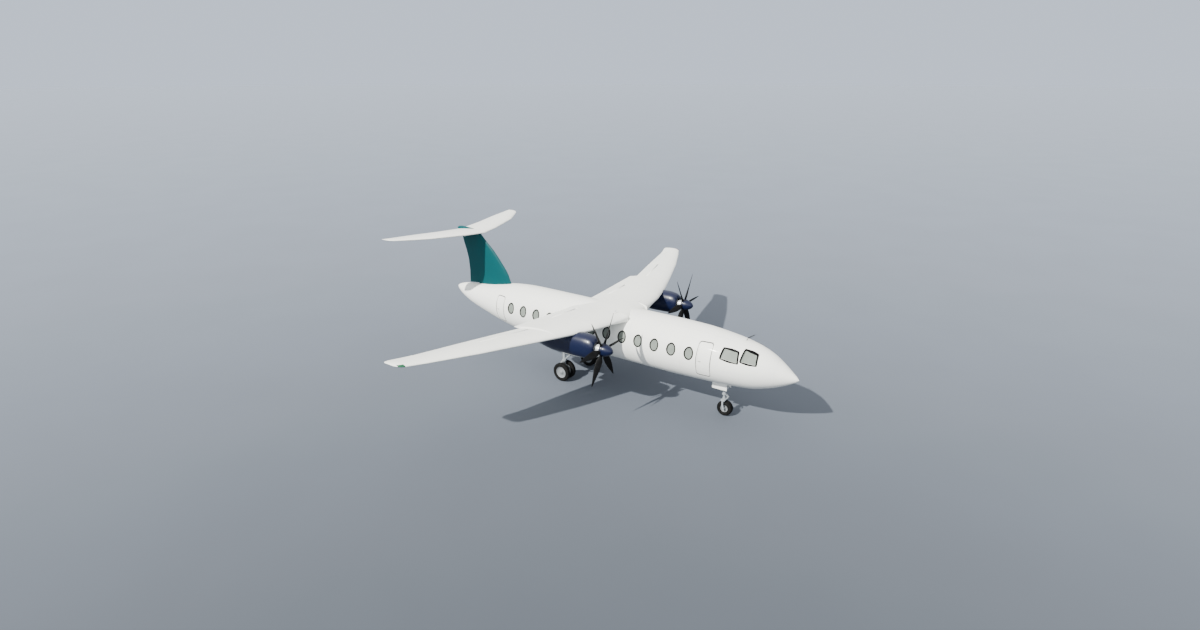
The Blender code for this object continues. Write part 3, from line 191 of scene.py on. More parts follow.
# Light. One large soft lamp stands high on the starboard side, a little behind the aircraft. A very
# wide weak one fills the shadows from low ahead, and an even pale surround closes the studio.
SHADOW_PER_METRE = Vector((1.184, -0.305, -1.0))
FILL_WAY = Vector((0.75, 0.62, -0.22))
HORIZON_COLOUR = (0.75, 0.85, 1.01)
OVERHEAD_COLOUR = (1.52, 1.53, 1.50)


def mix_node(tree, factor, first, second):
    """A colour between two colours or colour sockets."""
    node = tree.nodes.new("ShaderNodeMix")
    node.data_type = "RGBA"
    for socket, value in zip((node.inputs[0], node.inputs[6], node.inputs[7]), (factor, first, second)):
        feed(tree, socket, value)
    return node.outputs[2]


for name, way, energy, spread, colour in (
        ("key", SHADOW_PER_METRE, 9.5, 1.0, (1.0, 0.99, 0.93)),
        ("fill", FILL_WAY, 1.5, 70.0, (0.97, 1.0, 0.97))):
    lamp_data = bpy.data.lights.new(name, "SUN")
    lamp_data.energy = energy
    lamp_data.angle = math.radians(spread)
    lamp_data.color = colour
    lamp = bpy.data.objects.new(name, lamp_data)
    bpy.context.scene.collection.objects.link(lamp)
    lamp.rotation_euler = way.to_track_quat("-Z", "Y").to_euler()
world = bpy.data.worlds.new("surround")
world.use_nodes = True
bpy.context.scene.world = world
tree = world.node_tree
apart = tree.nodes.new("ShaderNodeSeparateXYZ")
link(tree, tree.nodes.new("ShaderNodeTexCoord").outputs["Generated"], apart.inputs[0])
height = range_node(tree, apart.outputs["Z"], 0.10, 0.75, 0.0, 1.0)
link(tree, mix_node(tree, height, HORIZON_COLOUR, OVERHEAD_COLOUR), tree.nodes["Background"].inputs["Color"])

# Fuselage. A round pressure hull of riveted aluminium sheet in four sections joined end to end, with
# a moulded nose cone that a radar looks through. Its gloss enamel is nearly clean: faint streaks run
# back along the airflow, and the sheet joints hold a little dirt.
WHITE = (0.78, 0.78, 0.745)
STREAK_GREY = (0.56, 0.56, 0.53)
CABIN_AXIS_HEIGHT = 3.15
STREAK_STRETCH = (3.0, 0.35, 3.0)


def group_with(name, inputs, outputs):
    """An empty shader node group with named sockets."""
    group = bpy.data.node_groups.new(name, "ShaderNodeTree")
    for label, kind, value in inputs:
        socket = group.interface.new_socket(label, in_out="INPUT", socket_type=kind)
        if value is not None:
            socket.default_value = value
    for label, kind in outputs:
        group.interface.new_socket(label, in_out="OUTPUT", socket_type=kind)
    return group, group.nodes.new("NodeGroupInput").outputs, group.nodes.new("NodeGroupOutput").inputs


def use_group(tree, group, **values):
    """Place a group in a material, with a value or a link for each named input."""
    node = tree.nodes.new("ShaderNodeGroup")
    node.node_tree = group
    for label, value in values.items():
        feed(tree, node.inputs[label.replace("_", " ")], value)
    return node.outputs


FLOAT = "NodeSocketFloat"
COLOUR = "NodeSocketColor"
VECTOR = "NodeSocketVector"

enamel, given, made = group_with(
    "sprayed enamel",
    [("Place", VECTOR, None), ("Colour", COLOUR, None), ("Dirt", COLOUR, None), ("Grime", FLOAT, 0.2),
     ("Gloss", FLOAT, 0.3)],
    [("Colour", COLOUR), ("Roughness", FLOAT), ("Height", FLOAT)])
stretch = enamel.nodes.new("ShaderNodeMapping")
stretch.inputs["Scale"].default_value = STREAK_STRETCH
link(enamel, given["Place"], stretch.inputs["Vector"])
streaks = range_node(enamel, noise_node(enamel, stretch.outputs[0], 1.6, 6.0, 0.6), 0.48, 0.78, 0.0, 1.0)
patches = range_node(enamel, noise_node(enamel, given["Place"], 0.7, 2.0), 0.35, 0.7, 0.0, 0.35)
soil = math_node(enamel, "MULTIPLY", math_node(enamel, "ADD", streaks, patches), given["Grime"])
link(enamel, mix_node(enamel, soil, given["Colour"], given["Dirt"]), made["Colour"])
uneven = math_node(enamel, "MULTIPLY", noise_node(enamel, given["Place"], 9.0, 4.0), 0.10)
rough = math_node(enamel, "ADD", math_node(enamel, "ADD", given["Gloss"], uneven), -0.05)
link(enamel, math_node(enamel, "ADD", rough, math_node(enamel, "MULTIPLY", soil, 0.4)), made["Roughness"])
link(enamel, noise_node(enamel, given["Place"], 2.2, 2.0), made["Height"])

sheet_joints, given, made = group_with(
    "sheet joints",
    [("Along", FLOAT, 0.0), ("Pitch", FLOAT, 1.0), ("Start", FLOAT, 0.0), ("Half Width", FLOAT, 0.004)],
    [("Joint", FLOAT)])
from_start = math_node(sheet_joints, "SUBTRACT", given["Along"], given["Start"])
away = math_node(sheet_joints, "PINGPONG", from_start, math_node(sheet_joints, "MULTIPLY", given["Pitch"], 0.5))
edge = math_node(sheet_joints, "DIVIDE", away, given["Half Width"])
link(sheet_joints, range_node(sheet_joints, edge, 0.6, 1.4, 1.0, 0.0), made["Joint"])


def painted(name, colour, dirt, grime=0.18, gloss=0.45, coat=0.03, shine=0.18, joints=()):
    """Enamel with sheet joints. Each joint family is (way, pitch, start, half width)."""
    material, tree, shader = new_material(name)
    place = object_coordinates(tree)
    film = use_group(tree, enamel, Place=place, Colour=colour, Dirt=dirt, Grime=grime, Gloss=gloss)
    apart = tree.nodes.new("ShaderNodeSeparateXYZ")
    link(tree, place, apart.inputs[0])
    ways = {axis: apart.outputs[axis] for axis in "XYZ"}
    ways["ROUND"] = math_node(tree, "ARCTAN2", ways["X"],
                              math_node(tree, "SUBTRACT", ways["Z"], CABIN_AXIS_HEIGHT))
    joint = None
    for way, pitch, start, half_width in joints:
        line = use_group(tree, sheet_joints, Along=ways[way], Pitch=pitch, Start=start,
                         Half_Width=half_width)["Joint"]
        joint = line if joint is None else math_node(tree, "MAXIMUM", joint, line)
    tone, height = film["Colour"], math_node(tree, "MULTIPLY", film["Height"], 0.5)
    if joint is not None:
        tone = mix_node(tree, math_node(tree, "MULTIPLY", joint, 0.45), tone, dirt)
        height = math_node(tree, "SUBTRACT", height, joint)
    link(tree, tone, shader.inputs["Base Color"])
    link(tree, film["Roughness"], shader.inputs["Roughness"])
    raise_grain(tree, shader, height, 0.25, 0.004)
    shader.inputs["Coat Weight"].default_value = coat
    shader.inputs["Coat Roughness"].default_value = 0.08
    shader.inputs["Specular IOR Level"].default_value = shine
    return material


# Stations of the hull: place along the aircraft, radius and height of the centre
FUSELAGE = [
    (-11.30, 0.00, 2.865), (-11.22, 0.09, 2.868), (-10.98, 0.26, 2.885),
    (-10.52, 0.545, 2.935), (-9.88, 0.86, 3.00), (-9.07, 1.11, 3.045),
    (-7.98, 1.27, 3.105), (-6.20, 1.395, 3.15), (-4.60, 1.43, 3.146),
    (3.60, 1.43, 3.146), (5.00, 1.39, 3.176), (6.50, 1.225, 3.22),
    (7.90, 0.96, 3.26), (9.30, 0.68, 3.33), (10.35, 0.40, 3.46),
    (10.90, 0.15, 3.54), (11.03, 0.04, 3.56),
]
FUSELAGE_SIDES = 96
SECTION_STEP = 0.14
SEAT = 0.0003
TIP_TRIM = 0.004


def smooth_reading(table, at, column):
    """Reading of a station table along a smooth curve through its rows."""
    at = min(max(at, table[0][0]), table[-1][0])
    row = 0
    while row < len(table) - 2 and at > table[row + 1][0]:
        row += 1

    def slope(i):
        if i in (0, len(table) - 1):
            j = min(i, len(table) - 2)
            return (table[j + 1][column] - table[j][column]) / (table[j + 1][0] - table[j][0])
        before = (table[i][column] - table[i - 1][column]) / (table[i][0] - table[i - 1][0])
        after = (table[i + 1][column] - table[i][column]) / (table[i + 1][0] - table[i][0])
        return 0.0 if before * after <= 0.0 else 2.0 * before * after / (before + after)

    low, high = table[row], table[row + 1]
    run = high[0] - low[0]
    t = (at - low[0]) / run
    return ((2 * t ** 3 - 3 * t ** 2 + 1) * low[column] + (t ** 3 - 2 * t ** 2 + t) * run * slope(row)
            + (3 * t ** 2 - 2 * t ** 3) * high[column] + (t ** 3 - t ** 2) * run * slope(row + 1))


def hull_at(y):
    """Radius and centre height of the fuselage at a station."""
    return smooth_reading(FUSELAGE, y, 1), smooth_reading(FUSELAGE, y, 2)


def hull_normal(point):
    radius, height = hull_at(point.y)
    step = 0.01
    (r_low, h_low), (r_high, h_high) = hull_at(point.y - step), hull_at(point.y + step)
    rise = point.z - height
    return Vector((point.x, -rise * (h_high - h_low) / (2 * step) - radius * (r_high - r_low) / (2 * step),
                   rise)).normalized()


def of_kind(made, kind):
    """The vertices, edges or faces among what an operator made."""
    return [item for item in made if isinstance(item, kind)]


def hull_tube(name, start, end, shrink=0.0, material=None):
    """A stretch of the round hull: one circle, extruded from station to station."""
    count = max(2, round((end - start) / SECTION_STEP))
    shape = bmesh.new()
    ring = bmesh.ops.create_circle(shape, segments=FUSELAGE_SIDES, radius=1.0)["verts"]
    bmesh.ops.rotate(shape, verts=ring, cent=(0, 0, 0), matrix=Matrix.Rotation(math.pi / 2, 3, "X"))
    edges = shape.edges[:]
    first = edges
    old_height = 0.0
    for k in range(count + 1):
        y = start + (end - start) * k / count
        radius, height = hull_at(y)
        radius -= shrink
        if k > 0:
            made = bmesh.ops.extrude_edge_only(shape, edges=edges)["geom"]
            ring, edges = of_kind(made, bmesh.types.BMVert), of_kind(made, bmesh.types.BMEdge)
        for vert in ring:
            turn = math.atan2(vert.co.x, vert.co.z - old_height)
            vert.co = Vector((radius * math.sin(turn), y, height + radius * math.cos(turn)))
        old_height = height
    bmesh.ops.contextual_create(shape, geom=first)
    bmesh.ops.contextual_create(shape, geom=edges)
    return new_object(name, shape, material)


INSET_SHARE = 0.05


def skin_shading(thing, normal_at, angle=30.0, closeness=0.96):
    """Give every face that lies on a smooth skin that skin's own normals."""
    mesh = thing.data
    mesh.shade_smooth()
    mesh.set_sharp_from_angle(angle=math.radians(angle))
    normals = [corner.vector.copy() for corner in mesh.corner_normals]
    for face in mesh.polygons:
        if face.normal.dot(normal_at(face.center)) > closeness:
            for corner, index in zip(face.loop_indices, face.vertices):
                normals[corner] = normal_at(mesh.vertices[index].co.lerp(face.center, INSET_SHARE))
    mesh.normals_split_custom_set(normals)


def finish_piece(thing, body, slot, *replaced):
    """Ride with a body and stand in for CAD nodes in one step; the slot is not used."""
    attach(thing, body)
    if replaced:
        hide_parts(*replaced)
    return thing


HULL_JOINTS = [("Y", 1.52, 0.35, 0.005), ("ROUND", math.pi / 4, math.pi / 8, 0.0035)]
hull_white = painted("hull_white", WHITE, STREAK_GREY, grime=0.12, joints=HULL_JOINTS)
cone_white = painted("cone_white", WHITE, STREAK_GREY, grime=0.16, gloss=0.36)

NOSE_TIP = FUSELAGE[0][0]
RADOME_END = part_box("radome")[1].y
NOSE_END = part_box("nose_section")[1].y
CABIN_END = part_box("cabin_section")[1].y
TAIL_END = FUSELAGE[-1][0]

radome = hull_tube("radome_shell", NOSE_TIP + TIP_TRIM, RADOME_END, material=cone_white)
skin_shading(radome, hull_normal)
finish_piece(radome, "airframe", "fuselage_white", "radome")

nose_skin = hull_tube("nose_skin", RADOME_END + SEAT, NOSE_END, material=hull_white)
cabin_skin = hull_tube("cabin_skin", NOSE_END + SEAT, CABIN_END, material=hull_white)
tail_skin = hull_tube("tail_skin", CABIN_END + SEAT, TAIL_END, material=hull_white)

# Nose wheel bay. A deep box let into the belly, open below, that the strut and wheel fold into. Its
# walls are flat sheet, riveted to the frames on either side.
BAY_LOW, BAY_HIGH = Vector((-0.27, -8.25, 1.0)), Vector((0.27, -7.02, 2.3003))


def box_tool(low, high, name="tool", bevel=0.0):
    """A block between two corners, its edges rounded where a bevel is given."""
    shape = bmesh.new()
    bmesh.ops.create_cube(shape, size=1.0)
    middle, size = (low + high) / 2, high - low
    bmesh.ops.transform(shape, verts=shape.verts,
                        matrix=Matrix.Translation(middle) @ Matrix.Diagonal((*size, 1.0)))
    if bevel:
        bmesh.ops.bevel(shape, geom=shape.edges[:], offset=bevel, segments=3, profile=0.5,
                        affect="EDGES", material=-1)
    return new_object(name, shape, None, bevel > 0.0)


def cut(thing, tool, operation="DIFFERENCE"):
    """Cut or trim a piece with a tool that is then thrown away."""
    step = thing.modifiers.new("cut", "BOOLEAN")
    step.operation = operation
    step.object = tool
    step.solver = "EXACT"
    bpy.context.view_layer.update()
    evaluated = thing.evaluated_get(bpy.context.evaluated_depsgraph_get())
    mesh = bpy.data.meshes.new_from_object(evaluated)
    thing.modifiers.clear()
    thing.data = mesh
    bpy.data.objects.remove(tool)


cut(nose_skin, box_tool(BAY_LOW, BAY_HIGH))
cut(cabin_skin, box_tool(BAY_LOW, BAY_HIGH))

# Cabin windows. Each is an oval acrylic pane, pale grey-green from outside, pressed against the
# inside of the skin and held in a black rubber seal. The row runs along both sides.
WINDOW_HEIGHT = 3.47
WINDOW_WIDE, WINDOW_TALL = 0.40, 0.54
WINDOW_PITCH = 0.966
WINDOW_FIRST = -6.175
WINDOW_COUNT = 13
WINDOW_POCKET = 0.050
PANE_DEPTH = 0.022
PANE_THICK = 0.012
SEAL_WIDTH = 0.060
SEAL_PROUD = 0.006
PANE_INSET = 0.055
TAIL_WINDOWS_START, TAIL_WINDOWS_END = CABIN_END - 0.2, CABIN_END + 1.6
SIDES = ((1, "left"), (-1, "right"))

mottle, given, made = group_with(
    "mottle",
    [("Place", VECTOR, None), ("Dark", COLOUR, None), ("Light", COLOUR, None), ("Scale", FLOAT, 10.0),
     ("Rough Low", FLOAT, 0.4), ("Rough High", FLOAT, 0.6)],
    [("Colour", COLOUR), ("Roughness", FLOAT), ("Height", FLOAT)])
coarse, fine = (math_node(mottle, "MULTIPLY", given["Scale"], times) for times in (3.0, 12.0))
tones = range_node(mottle, noise_node(mottle, given["Place"], given["Scale"], 5.0), 0.3, 0.7, 0.0, 1.0)
link(mottle, mix_node(mottle, tones, given["Dark"], given["Light"]), made["Colour"])
link(mottle, range_node(mottle, noise_node(mottle, given["Place"], coarse), 0.3, 0.7, given["Rough Low"],
                        given["Rough High"]), made["Roughness"])
link(mottle, noise_node(mottle, given["Place"], fine), made["Height"])


def plain_finish(name, dark, light, scale, rough_low, rough_high, metallic=0.0, shine=0.5):
    """A mottled finish between two tones, with uneven roughness and a fine grain."""
    material, tree, shader = new_material(name, rough_low, metallic)
    film = use_group(tree, mottle, Place=object_coordinates(tree), Dark=dark, Light=light, Scale=scale,
                     Rough_Low=rough_low, Rough_High=rough_high)
    link(tree, film["Colour"], shader.inputs["Base Color"])
    link(tree, film["Roughness"], shader.inputs["Roughness"])
    raise_grain(tree, shader, film["Height"], 0.12, 0.001)
    shader.inputs["Specular IOR Level"].default_value = shine
    return material


pane_glass = plain_finish("window_pane", (0.165, 0.185, 0.165), (0.195, 0.215, 0.195), 3.0, 0.45, 0.55, shine=0.08)
seal_rubber = plain_finish("seal_rubber", (0.0015, 0.0015, 0.0015), (0.0045, 0.0045, 0.005), 25.0, 0.6, 0.8,
                           shine=0.05)


def turns(count):
    """Angles spaced evenly round a circle."""
    return [2 * math.pi * k / count for k in range(count)]


def oval(y, z, wide, tall):
    """An oval outline on the side of the hull, as (y, z) points."""
    return [(y + wide / 2 * math.sin(turn), z + tall / 2 * math.cos(turn)) for turn in turns(40)]


def hull_side(y, z, side, proud=0.0):
    """The point of the skin at a station and height, on one side of the aircraft."""
    radius, height = hull_at(y)
    point = Vector((side * math.sqrt(max(0.0, radius ** 2 - (z - height) ** 2)), y, z))
    return point + hull_normal(point) * proud


def on_hull(shape, verts, side, proud):
    """Lay vertices, given by their y and z, on the skin."""
    for vert in verts:
        vert.co = hull_side(vert.co.y, vert.co.z, side, proud)


def slab(name, outline, x_near, x_far, bevel=0.0, material=None, place=None):
    """A plate whose side view is an outline of (y, z) points, its edges rounded where a bevel is given."""
    shape = bmesh.new()
    face = shape.faces.new([shape.verts.new((x_near, y, z)) for y, z in outline])
    made = bmesh.ops.extrude_face_region(shape, geom=[face])["geom"]
    bmesh.ops.translate(shape, vec=(x_far - x_near, 0, 0), verts=of_kind(made, bmesh.types.BMVert))
    if bevel:
        bmesh.ops.bevel(shape, geom=shape.edges[:], offset=bevel, segments=2, profile=0.5,
                        affect="EDGES", material=-1)
    if place is not None:
        bmesh.ops.transform(shape, verts=shape.verts, matrix=place)
    return new_object(name, shape, material, bevel > 0.0)


TOOL_REACH = (0.4, 1.8)


def outline_tool(points, side):
    """A cutter straight in from the side, with the given outline."""
    return slab("tool", points, side * TOOL_REACH[0], side * TOOL_REACH[1])


def pane_on_hull(name, points, side, steps=3):
    """A pane that follows the hull's curve a little below the skin, inside an outline."""
    shape = bmesh.new()
    face = shape.faces.new([shape.verts.new((0, y, z)) for y, z in points])
    for _ in range(steps):
        bmesh.ops.inset_region(shape, faces=[face], thickness=PANE_INSET)
    on_hull(shape, shape.verts, side, -PANE_DEPTH)
    made = bmesh.ops.extrude_face_region(shape, geom=shape.faces[:])["geom"]
    bmesh.ops.translate(shape, vec=(-side * PANE_THICK, 0, 0), verts=of_kind(made, bmesh.types.BMVert))
    return new_object(name, shape, pane_glass)


def strip_on_hull(name, points, side, section, material):
    """A closed strip round an outline. Its section is carried round as nested loops, each
    given by how far out from the outline it lies and how far proud of the skin."""
    middle = Vector((0, sum(p[0] for p in points) / len(points), sum(p[1] for p in points) / len(points)))
    shape = bmesh.new()
    loops = []
    for out, proud in section:
        verts = []
        for y, z in points:
            spoke = Vector((0, y, z)) - middle
            verts.append(shape.verts.new(middle + spoke * (1 + out / spoke.length)))
        edges = [shape.edges.new((a, b)) for a, b in zip(verts, verts[1:] + verts[:1])]
        on_hull(shape, verts, side, proud)
        loops.append(edges)
    for low, high in zip(loops, loops[1:] + loops[:1]):
        bmesh.ops.bridge_loops(shape, edges=low + high)
    return new_object(name, shape, material)


def join_in(name, things, material=None, angle=35.0):
    """Join objects into one, as separate solids of one mesh."""
    shape = bmesh.new()
    for thing in things:
        shape.from_mesh(thing.data)
        bpy.data.objects.remove(thing)
    return new_object(name, shape, material, material is not None, angle)


def pockets(tools, start, end, depth):
    """Window cutters that stop a little way below the skin."""
    pocket = join_in("pockets", tools)
    cut(pocket, hull_tube("core", start, end, depth))
    return pocket


def seal_section(width):
    """A seal's section, from the pane over its rounded crown to its outer lip."""
    return [(-0.004, -PANE_DEPTH), (-0.004, SEAL_PROUD), (0.006, SEAL_PROUD + 0.003), (width - 0.006, SEAL_PROUD),
            (width, -0.002)]


window_stations = [WINDOW_FIRST + WINDOW_PITCH * k for k in range(WINDOW_COUNT)]
cabin_outlines = [oval(y, WINDOW_HEIGHT, WINDOW_WIDE, WINDOW_TALL) for y in window_stations]
tools = {"cabin": [], "tail": []}
for side, word in SIDES:
    panes, seals = [], []
    for k, outline in enumerate(cabin_outlines):
        for section, low, high in (("cabin", NOSE_END, CABIN_END), ("tail", CABIN_END, TAIL_END)):
            if low - WINDOW_WIDE < window_stations[k] < high + WINDOW_WIDE:
                tools[section].append(outline_tool(outline, side))
        panes.append(pane_on_hull("pane", outline, side))
        seals.append(strip_on_hull("seal", outline, side, seal_section(SEAL_WIDTH), seal_rubber))
    finish_piece(join_in(f"cabin_panes_{word}", panes, pane_glass), "airframe", "fuselage_white")
    finish_piece(join_in(f"cabin_seals_{word}", seals, seal_rubber, 50), "airframe", "tyre_rubber")
cut(cabin_skin, pockets(tools["cabin"], NOSE_END, CABIN_END, WINDOW_POCKET))
cut(tail_skin, pockets(tools["tail"], TAIL_WINDOWS_START, TAIL_WINDOWS_END, WINDOW_POCKET))

# Flight deck windows. Two four-sided laminated panes on each side, with round corners. They are
# clamped into the skin from outside and sealed all round in black rubber.
DECK_OUTLINES = [
    [(-7.86, 4.00), (-8.53, 3.92), (-8.62, 3.46), (-7.80, 3.56)],
    [(-8.82, 4.03), (-9.39, 3.88), (-9.46, 3.48), (-8.77, 3.56)],
]
DECK_CORNER = 0.05
DECK_POCKET = 0.090
DECK_SEAL_WIDTH = 0.078
OUTLINE_STEP = 0.09


def rounded(points, radii):
    """An outline with its corners cut round, each bevelled by its own radius."""
    shape = bmesh.new()
    verts = [shape.verts.new((0, y, z)) for y, z in points]
    shape.faces.new(verts)
    for vert, radius in zip(verts, radii):
        bmesh.ops.bevel(shape, geom=[vert], offset=radius, segments=5, profile=0.5, affect="VERTICES", material=-1)
    corners = [(vert.co.y, vert.co.z) for face in shape.faces for vert in face.verts]
    shape.free()
    return corners


def even_outline(points, step=OUTLINE_STEP):
    """The same outline with points added along its long straight edges."""
    filled = []
    for (y, z), (next_y, next_z) in zip(points, points[1:] + points[:1]):
        count = max(1, round(math.hypot(next_y - y, next_z - z) / step))
        filled += [(y + (next_y - y) * k / count, z + (next_z - z) * k / count) for k in range(count)]
    return filled


deck_tools = []
for side, word in SIDES:
    for number, outline in enumerate(DECK_OUTLINES, 1):
        outline = even_outline(rounded(outline, [DECK_CORNER] * 4))
        deck_tools.append(outline_tool(outline, side))
        finish_piece(pane_on_hull(f"deck_pane_{word}_{number}", outline, side, 4), "airframe", "fuselage_white")
        seal = strip_on_hull(f"deck_seal_{word}_{number}", outline, side, seal_section(DECK_SEAL_WIDTH), seal_rubber)
        finish_piece(seal, "airframe", "tyre_rubber")

cut(nose_skin, pockets(deck_tools, RADOME_END, NOSE_END, DECK_POCKET))

# Cabin doors. Each is a thick panel of the hull's own curve with rounded corners, let into a pocket
# and closed flush. A raised near-black strip runs round its opening, painted shade for the door gap, and a
# small handle lies in its aft half. The doors of the port side swing on two pins, in deeper pockets with a dark
# lining.
DOOR_SILL = 2.46
DOOR_GAP = 0.008
# Each door's name, middle along the aircraft, width, top, hinge edge and section of the fuselage
DOORS = [
    ("front_door", -6.96, 0.70, 4.10, 4.10 - DOOR_GAP, "cabin"),
    ("rear_door", 6.36, 0.62, 3.96, DOOR_SILL + DOOR_GAP, "tail"),
]
DOOR_THICK = 0.06
POCKET_DEPTHS = {1: 0.13, -1: 0.06}
DOOR_CORNER = 0.12
HINGE_CORNER = 0.02
DOOR_PIN_INSET = 0.03
DOOR_PIN_RADIUS = 0.008
DOOR_PIN_HALF_LENGTH = 0.05
BORE_LONGER, BORE_WIDER = 1.04, 1.06
LINING_THICK = 0.006
DOOR_FRAME_REACH = 0.35
DOOR_STRETCH = 1.0
DOOR_REACH = 0.9
GAP_SHADE_SECTION = [(0.001, -0.01), (0.001, 0.003), (0.034, 0.003), (0.036, -0.01)]
HANDLE_SPAN = (0.11, 0.25)
HANDLE_HEIGHT = 3.20
HANDLE_HALF = 0.022
HANDLE_CORNER = 0.02
HANDLE_SECTION = [(0.0, -0.004), (0.0, 0.006), (-0.010, 0.009), (-0.014, 0.004), (-0.014, -0.004)]
door_white = painted("door_white", WHITE, STREAK_GREY, grime=0.12)
lining_grey = plain_finish("lining_grey", (0.035, 0.036, 0.038), (0.055, 0.056, 0.058), 6.0, 0.7, 0.85, shine=0.2)
# Near-black finish for the strip round each door: painted shade standing for the dark of the door gap.
gap_shade_grey = plain_finish("gap_shade_grey", (0.02, 0.02, 0.022), (0.045, 0.045, 0.05), 20.0, 0.5, 0.7, shine=0.1)


def door_frame(middle, edge, side):
    """Where a door's hinge edge lies on the skin, and the way it runs."""
    along = (hull_side(middle + DOOR_FRAME_REACH, edge, side)
             - hull_side(middle - DOOR_FRAME_REACH, edge, side)).normalized()
    return Matrix.Translation(hull_side(middle, edge, side)) @ Matrix.Rotation(
        math.atan2(-along.x, along.y), 4, "Z")


def box_outline(low_y, low_z, high_y, high_z):
    return [(low_y, low_z), (high_y, low_z), (high_y, high_z), (low_y, high_z)]


def door_tool(low, high, place, radii):
    """A block whose outline, seen from the side, has round corners."""
    return slab("slab", rounded(box_outline(low.y, low.z, high.y, high.z), radii), low.x, high.x, place=place)


def hull_panel(name, tool, middle, outer, inner):
    """A panel of the hull's own curve between two depths, trimmed by a tool."""
    panel = hull_tube(name, middle - DOOR_STRETCH, middle + DOOR_STRETCH, outer)
    cut(panel, tool, "INTERSECT")
    cut(panel, hull_tube("core", middle - DOOR_STRETCH - 0.1, middle + DOOR_STRETCH + 0.1, inner))
    return panel


def spun(name, profile, centre, axis, material, sides=64, closed=False, angle=35.0):
    """A turned piece. Its profile of (along, radius) points is spun round an axis."""
    along = Vector(axis).normalized()
    across = along.orthogonal().normalized()
    shape = bmesh.new()
    verts = [shape.verts.new(Vector(centre) + along * place + across * radius) for place, radius in profile]
    pairs = list(zip(verts, verts[1:])) + ([(verts[-1], verts[0])] if closed else [])
    edges = [shape.edges.new(pair) for pair in pairs]
    bmesh.ops.spin(shape, geom=verts + edges, cent=centre, axis=along, angle=2 * math.pi, steps=sides,
                   use_merge=True)
    bmesh.ops.remove_doubles(shape, verts=shape.verts, dist=0.00002)
    return new_object(name, shape, material, angle=angle)


def rod(start, end, radius):
    """The profile of a plain round rod, for spinning."""
    return [(start, 0.0), (start, radius), (end, radius), (end, 0.0)]


def one_finish(thing, material):
    thing.data.materials.clear()
    thing.data.materials.append(material)
    for face in thing.data.polygons:
        face.material_index = 0


skins = {"cabin": cabin_skin, "tail": tail_skin}
for label, middle, width, top, edge, section in DOORS:
    half = width / 2
    low, high = Vector((-DOOR_REACH, -half, DOOR_SILL - edge)), Vector((DOOR_REACH, half, top - edge))
    gap = Vector((0.0, DOOR_GAP, DOOR_GAP))
    hinged_on_top = edge > HANDLE_HEIGHT
    for side, word in SIDES:
        node = f"{label}_{word}"
        body = nodes[node]["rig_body"]
        depth = POCKET_DEPTHS[side]
        place = door_frame(middle, edge, side)
        top_corner = HINGE_CORNER if side > 0 and hinged_on_top else DOOR_CORNER
        sill_corner = HINGE_CORNER if side > 0 and not hinged_on_top else DOOR_CORNER
        radii = (sill_corner, sill_corner, top_corner, top_corner)
        pocket = door_tool(low, high, place, radii)
        cut(pocket, hull_tube("core", middle - DOOR_STRETCH, middle + DOOR_STRETCH, depth))
        cut(skins[section], pocket)
        door = hull_panel(f"{node}_panel", door_tool(low + gap, high - gap, place, radii), middle,
                          0.0, DOOR_THICK - SEAT)
        if side > 0:
            inward = -DOOR_PIN_INSET if hinged_on_top else DOOR_PIN_INSET
            across = place.to_3x3() @ Vector((0, 1, 0))
            parts = [door]
            for end in (-1, 1):
                centre = place @ Vector((0, end * (half - DOOR_GAP), inward))
                pin = rod(-DOOR_PIN_HALF_LENGTH, DOOR_PIN_HALF_LENGTH, DOOR_PIN_RADIUS)
                bore = [(along * BORE_LONGER, radius * BORE_WIDER) for along, radius in pin]
                parts.append(spun("pin", pin, centre, across, None, 16))
                cut(skins[section], spun("bore", bore, centre, across, None, 16))
            door = join_in(f"{node}_panel", parts)
            lining = hull_panel(f"{node}_lining", door_tool(low + gap / 2, high - gap / 2, place, radii), middle,
                                depth - LINING_THICK, depth - SEAT)
            one_finish(lining, lining_grey)
            finish_piece(lining, "airframe", "gear_grey")
        one_finish(door, door_white)
        skin_shading(door, hull_normal)
        finish_piece(door, body, slot_of[node], node)

        corners = box_outline(middle - half, DOOR_SILL, middle + half, top)
        # A raised strip round the opening, coloured near-black as painted shade of the door gap.
        strip = strip_on_hull(f"{node}_gap_shade_strip", even_outline(rounded(corners, radii)), side,
                              GAP_SHADE_SECTION, gap_shade_grey)
        finish_piece(strip, "airframe", "gear_grey")
        corners = box_outline(middle + HANDLE_SPAN[0], HANDLE_HEIGHT - HANDLE_HALF,
                              middle + HANDLE_SPAN[1], HANDLE_HEIGHT + HANDLE_HALF)
        handle = strip_on_hull(f"{node}_handle", even_outline(rounded(corners, [HANDLE_CORNER] * 4), HANDLE_CORNER),
                               side, HANDLE_SECTION, seal_rubber)
        finish_piece(handle, body, "tyre_rubber")

for skin, node in ((nose_skin, "nose_section"), (cabin_skin, "cabin_section"), (tail_skin, "tail_section")):
    one_finish(skin, hull_white)
    skin_shading(skin, hull_normal)
    finish_piece(skin, "airframe", "fuselage_white", node)

# Wing. An aluminium box wing in three pieces, with flaps and ailerons along its back edge. Its skins
# are long riveted planks, so their joints run along the span.
WING_LEAD = [(0.0, -2.42), (1.5, -2.25), (3.0, -1.97), (4.5, -1.50), (6.5, -0.745),
             (9.0, 0.255), (11.2, 1.28), (12.0, 1.70)]
INNER_TRAIL = [(0.0, 1.17), (5.38, 1.50)]
OUTER_TRAIL = [(5.38, 1.10), (8.30, 1.84), (10.95, 2.46), (12.0, 2.84)]
WING_JOINT = 5.38
WING_TIP_START, WING_TIP = 12.0, 12.28
WING_ROOT_Z, WING_RISE, WING_BEND = 4.34, 0.031, 1.43
WING_CAMBER = 0.018
TIP_CHORD, TIP_LINE, TIP_THICK = 0.35, 0.62, 0.25
WING_THICK = [(0.0, 0.175), (5.4, 0.155), (12.28, 0.12)]
WING_JOINTS = [("X", 1.35, 0.0, 0.005)]
wing_white = painted("wing_white", WHITE, STREAK_GREY, grime=0.14, joints=WING_JOINTS)
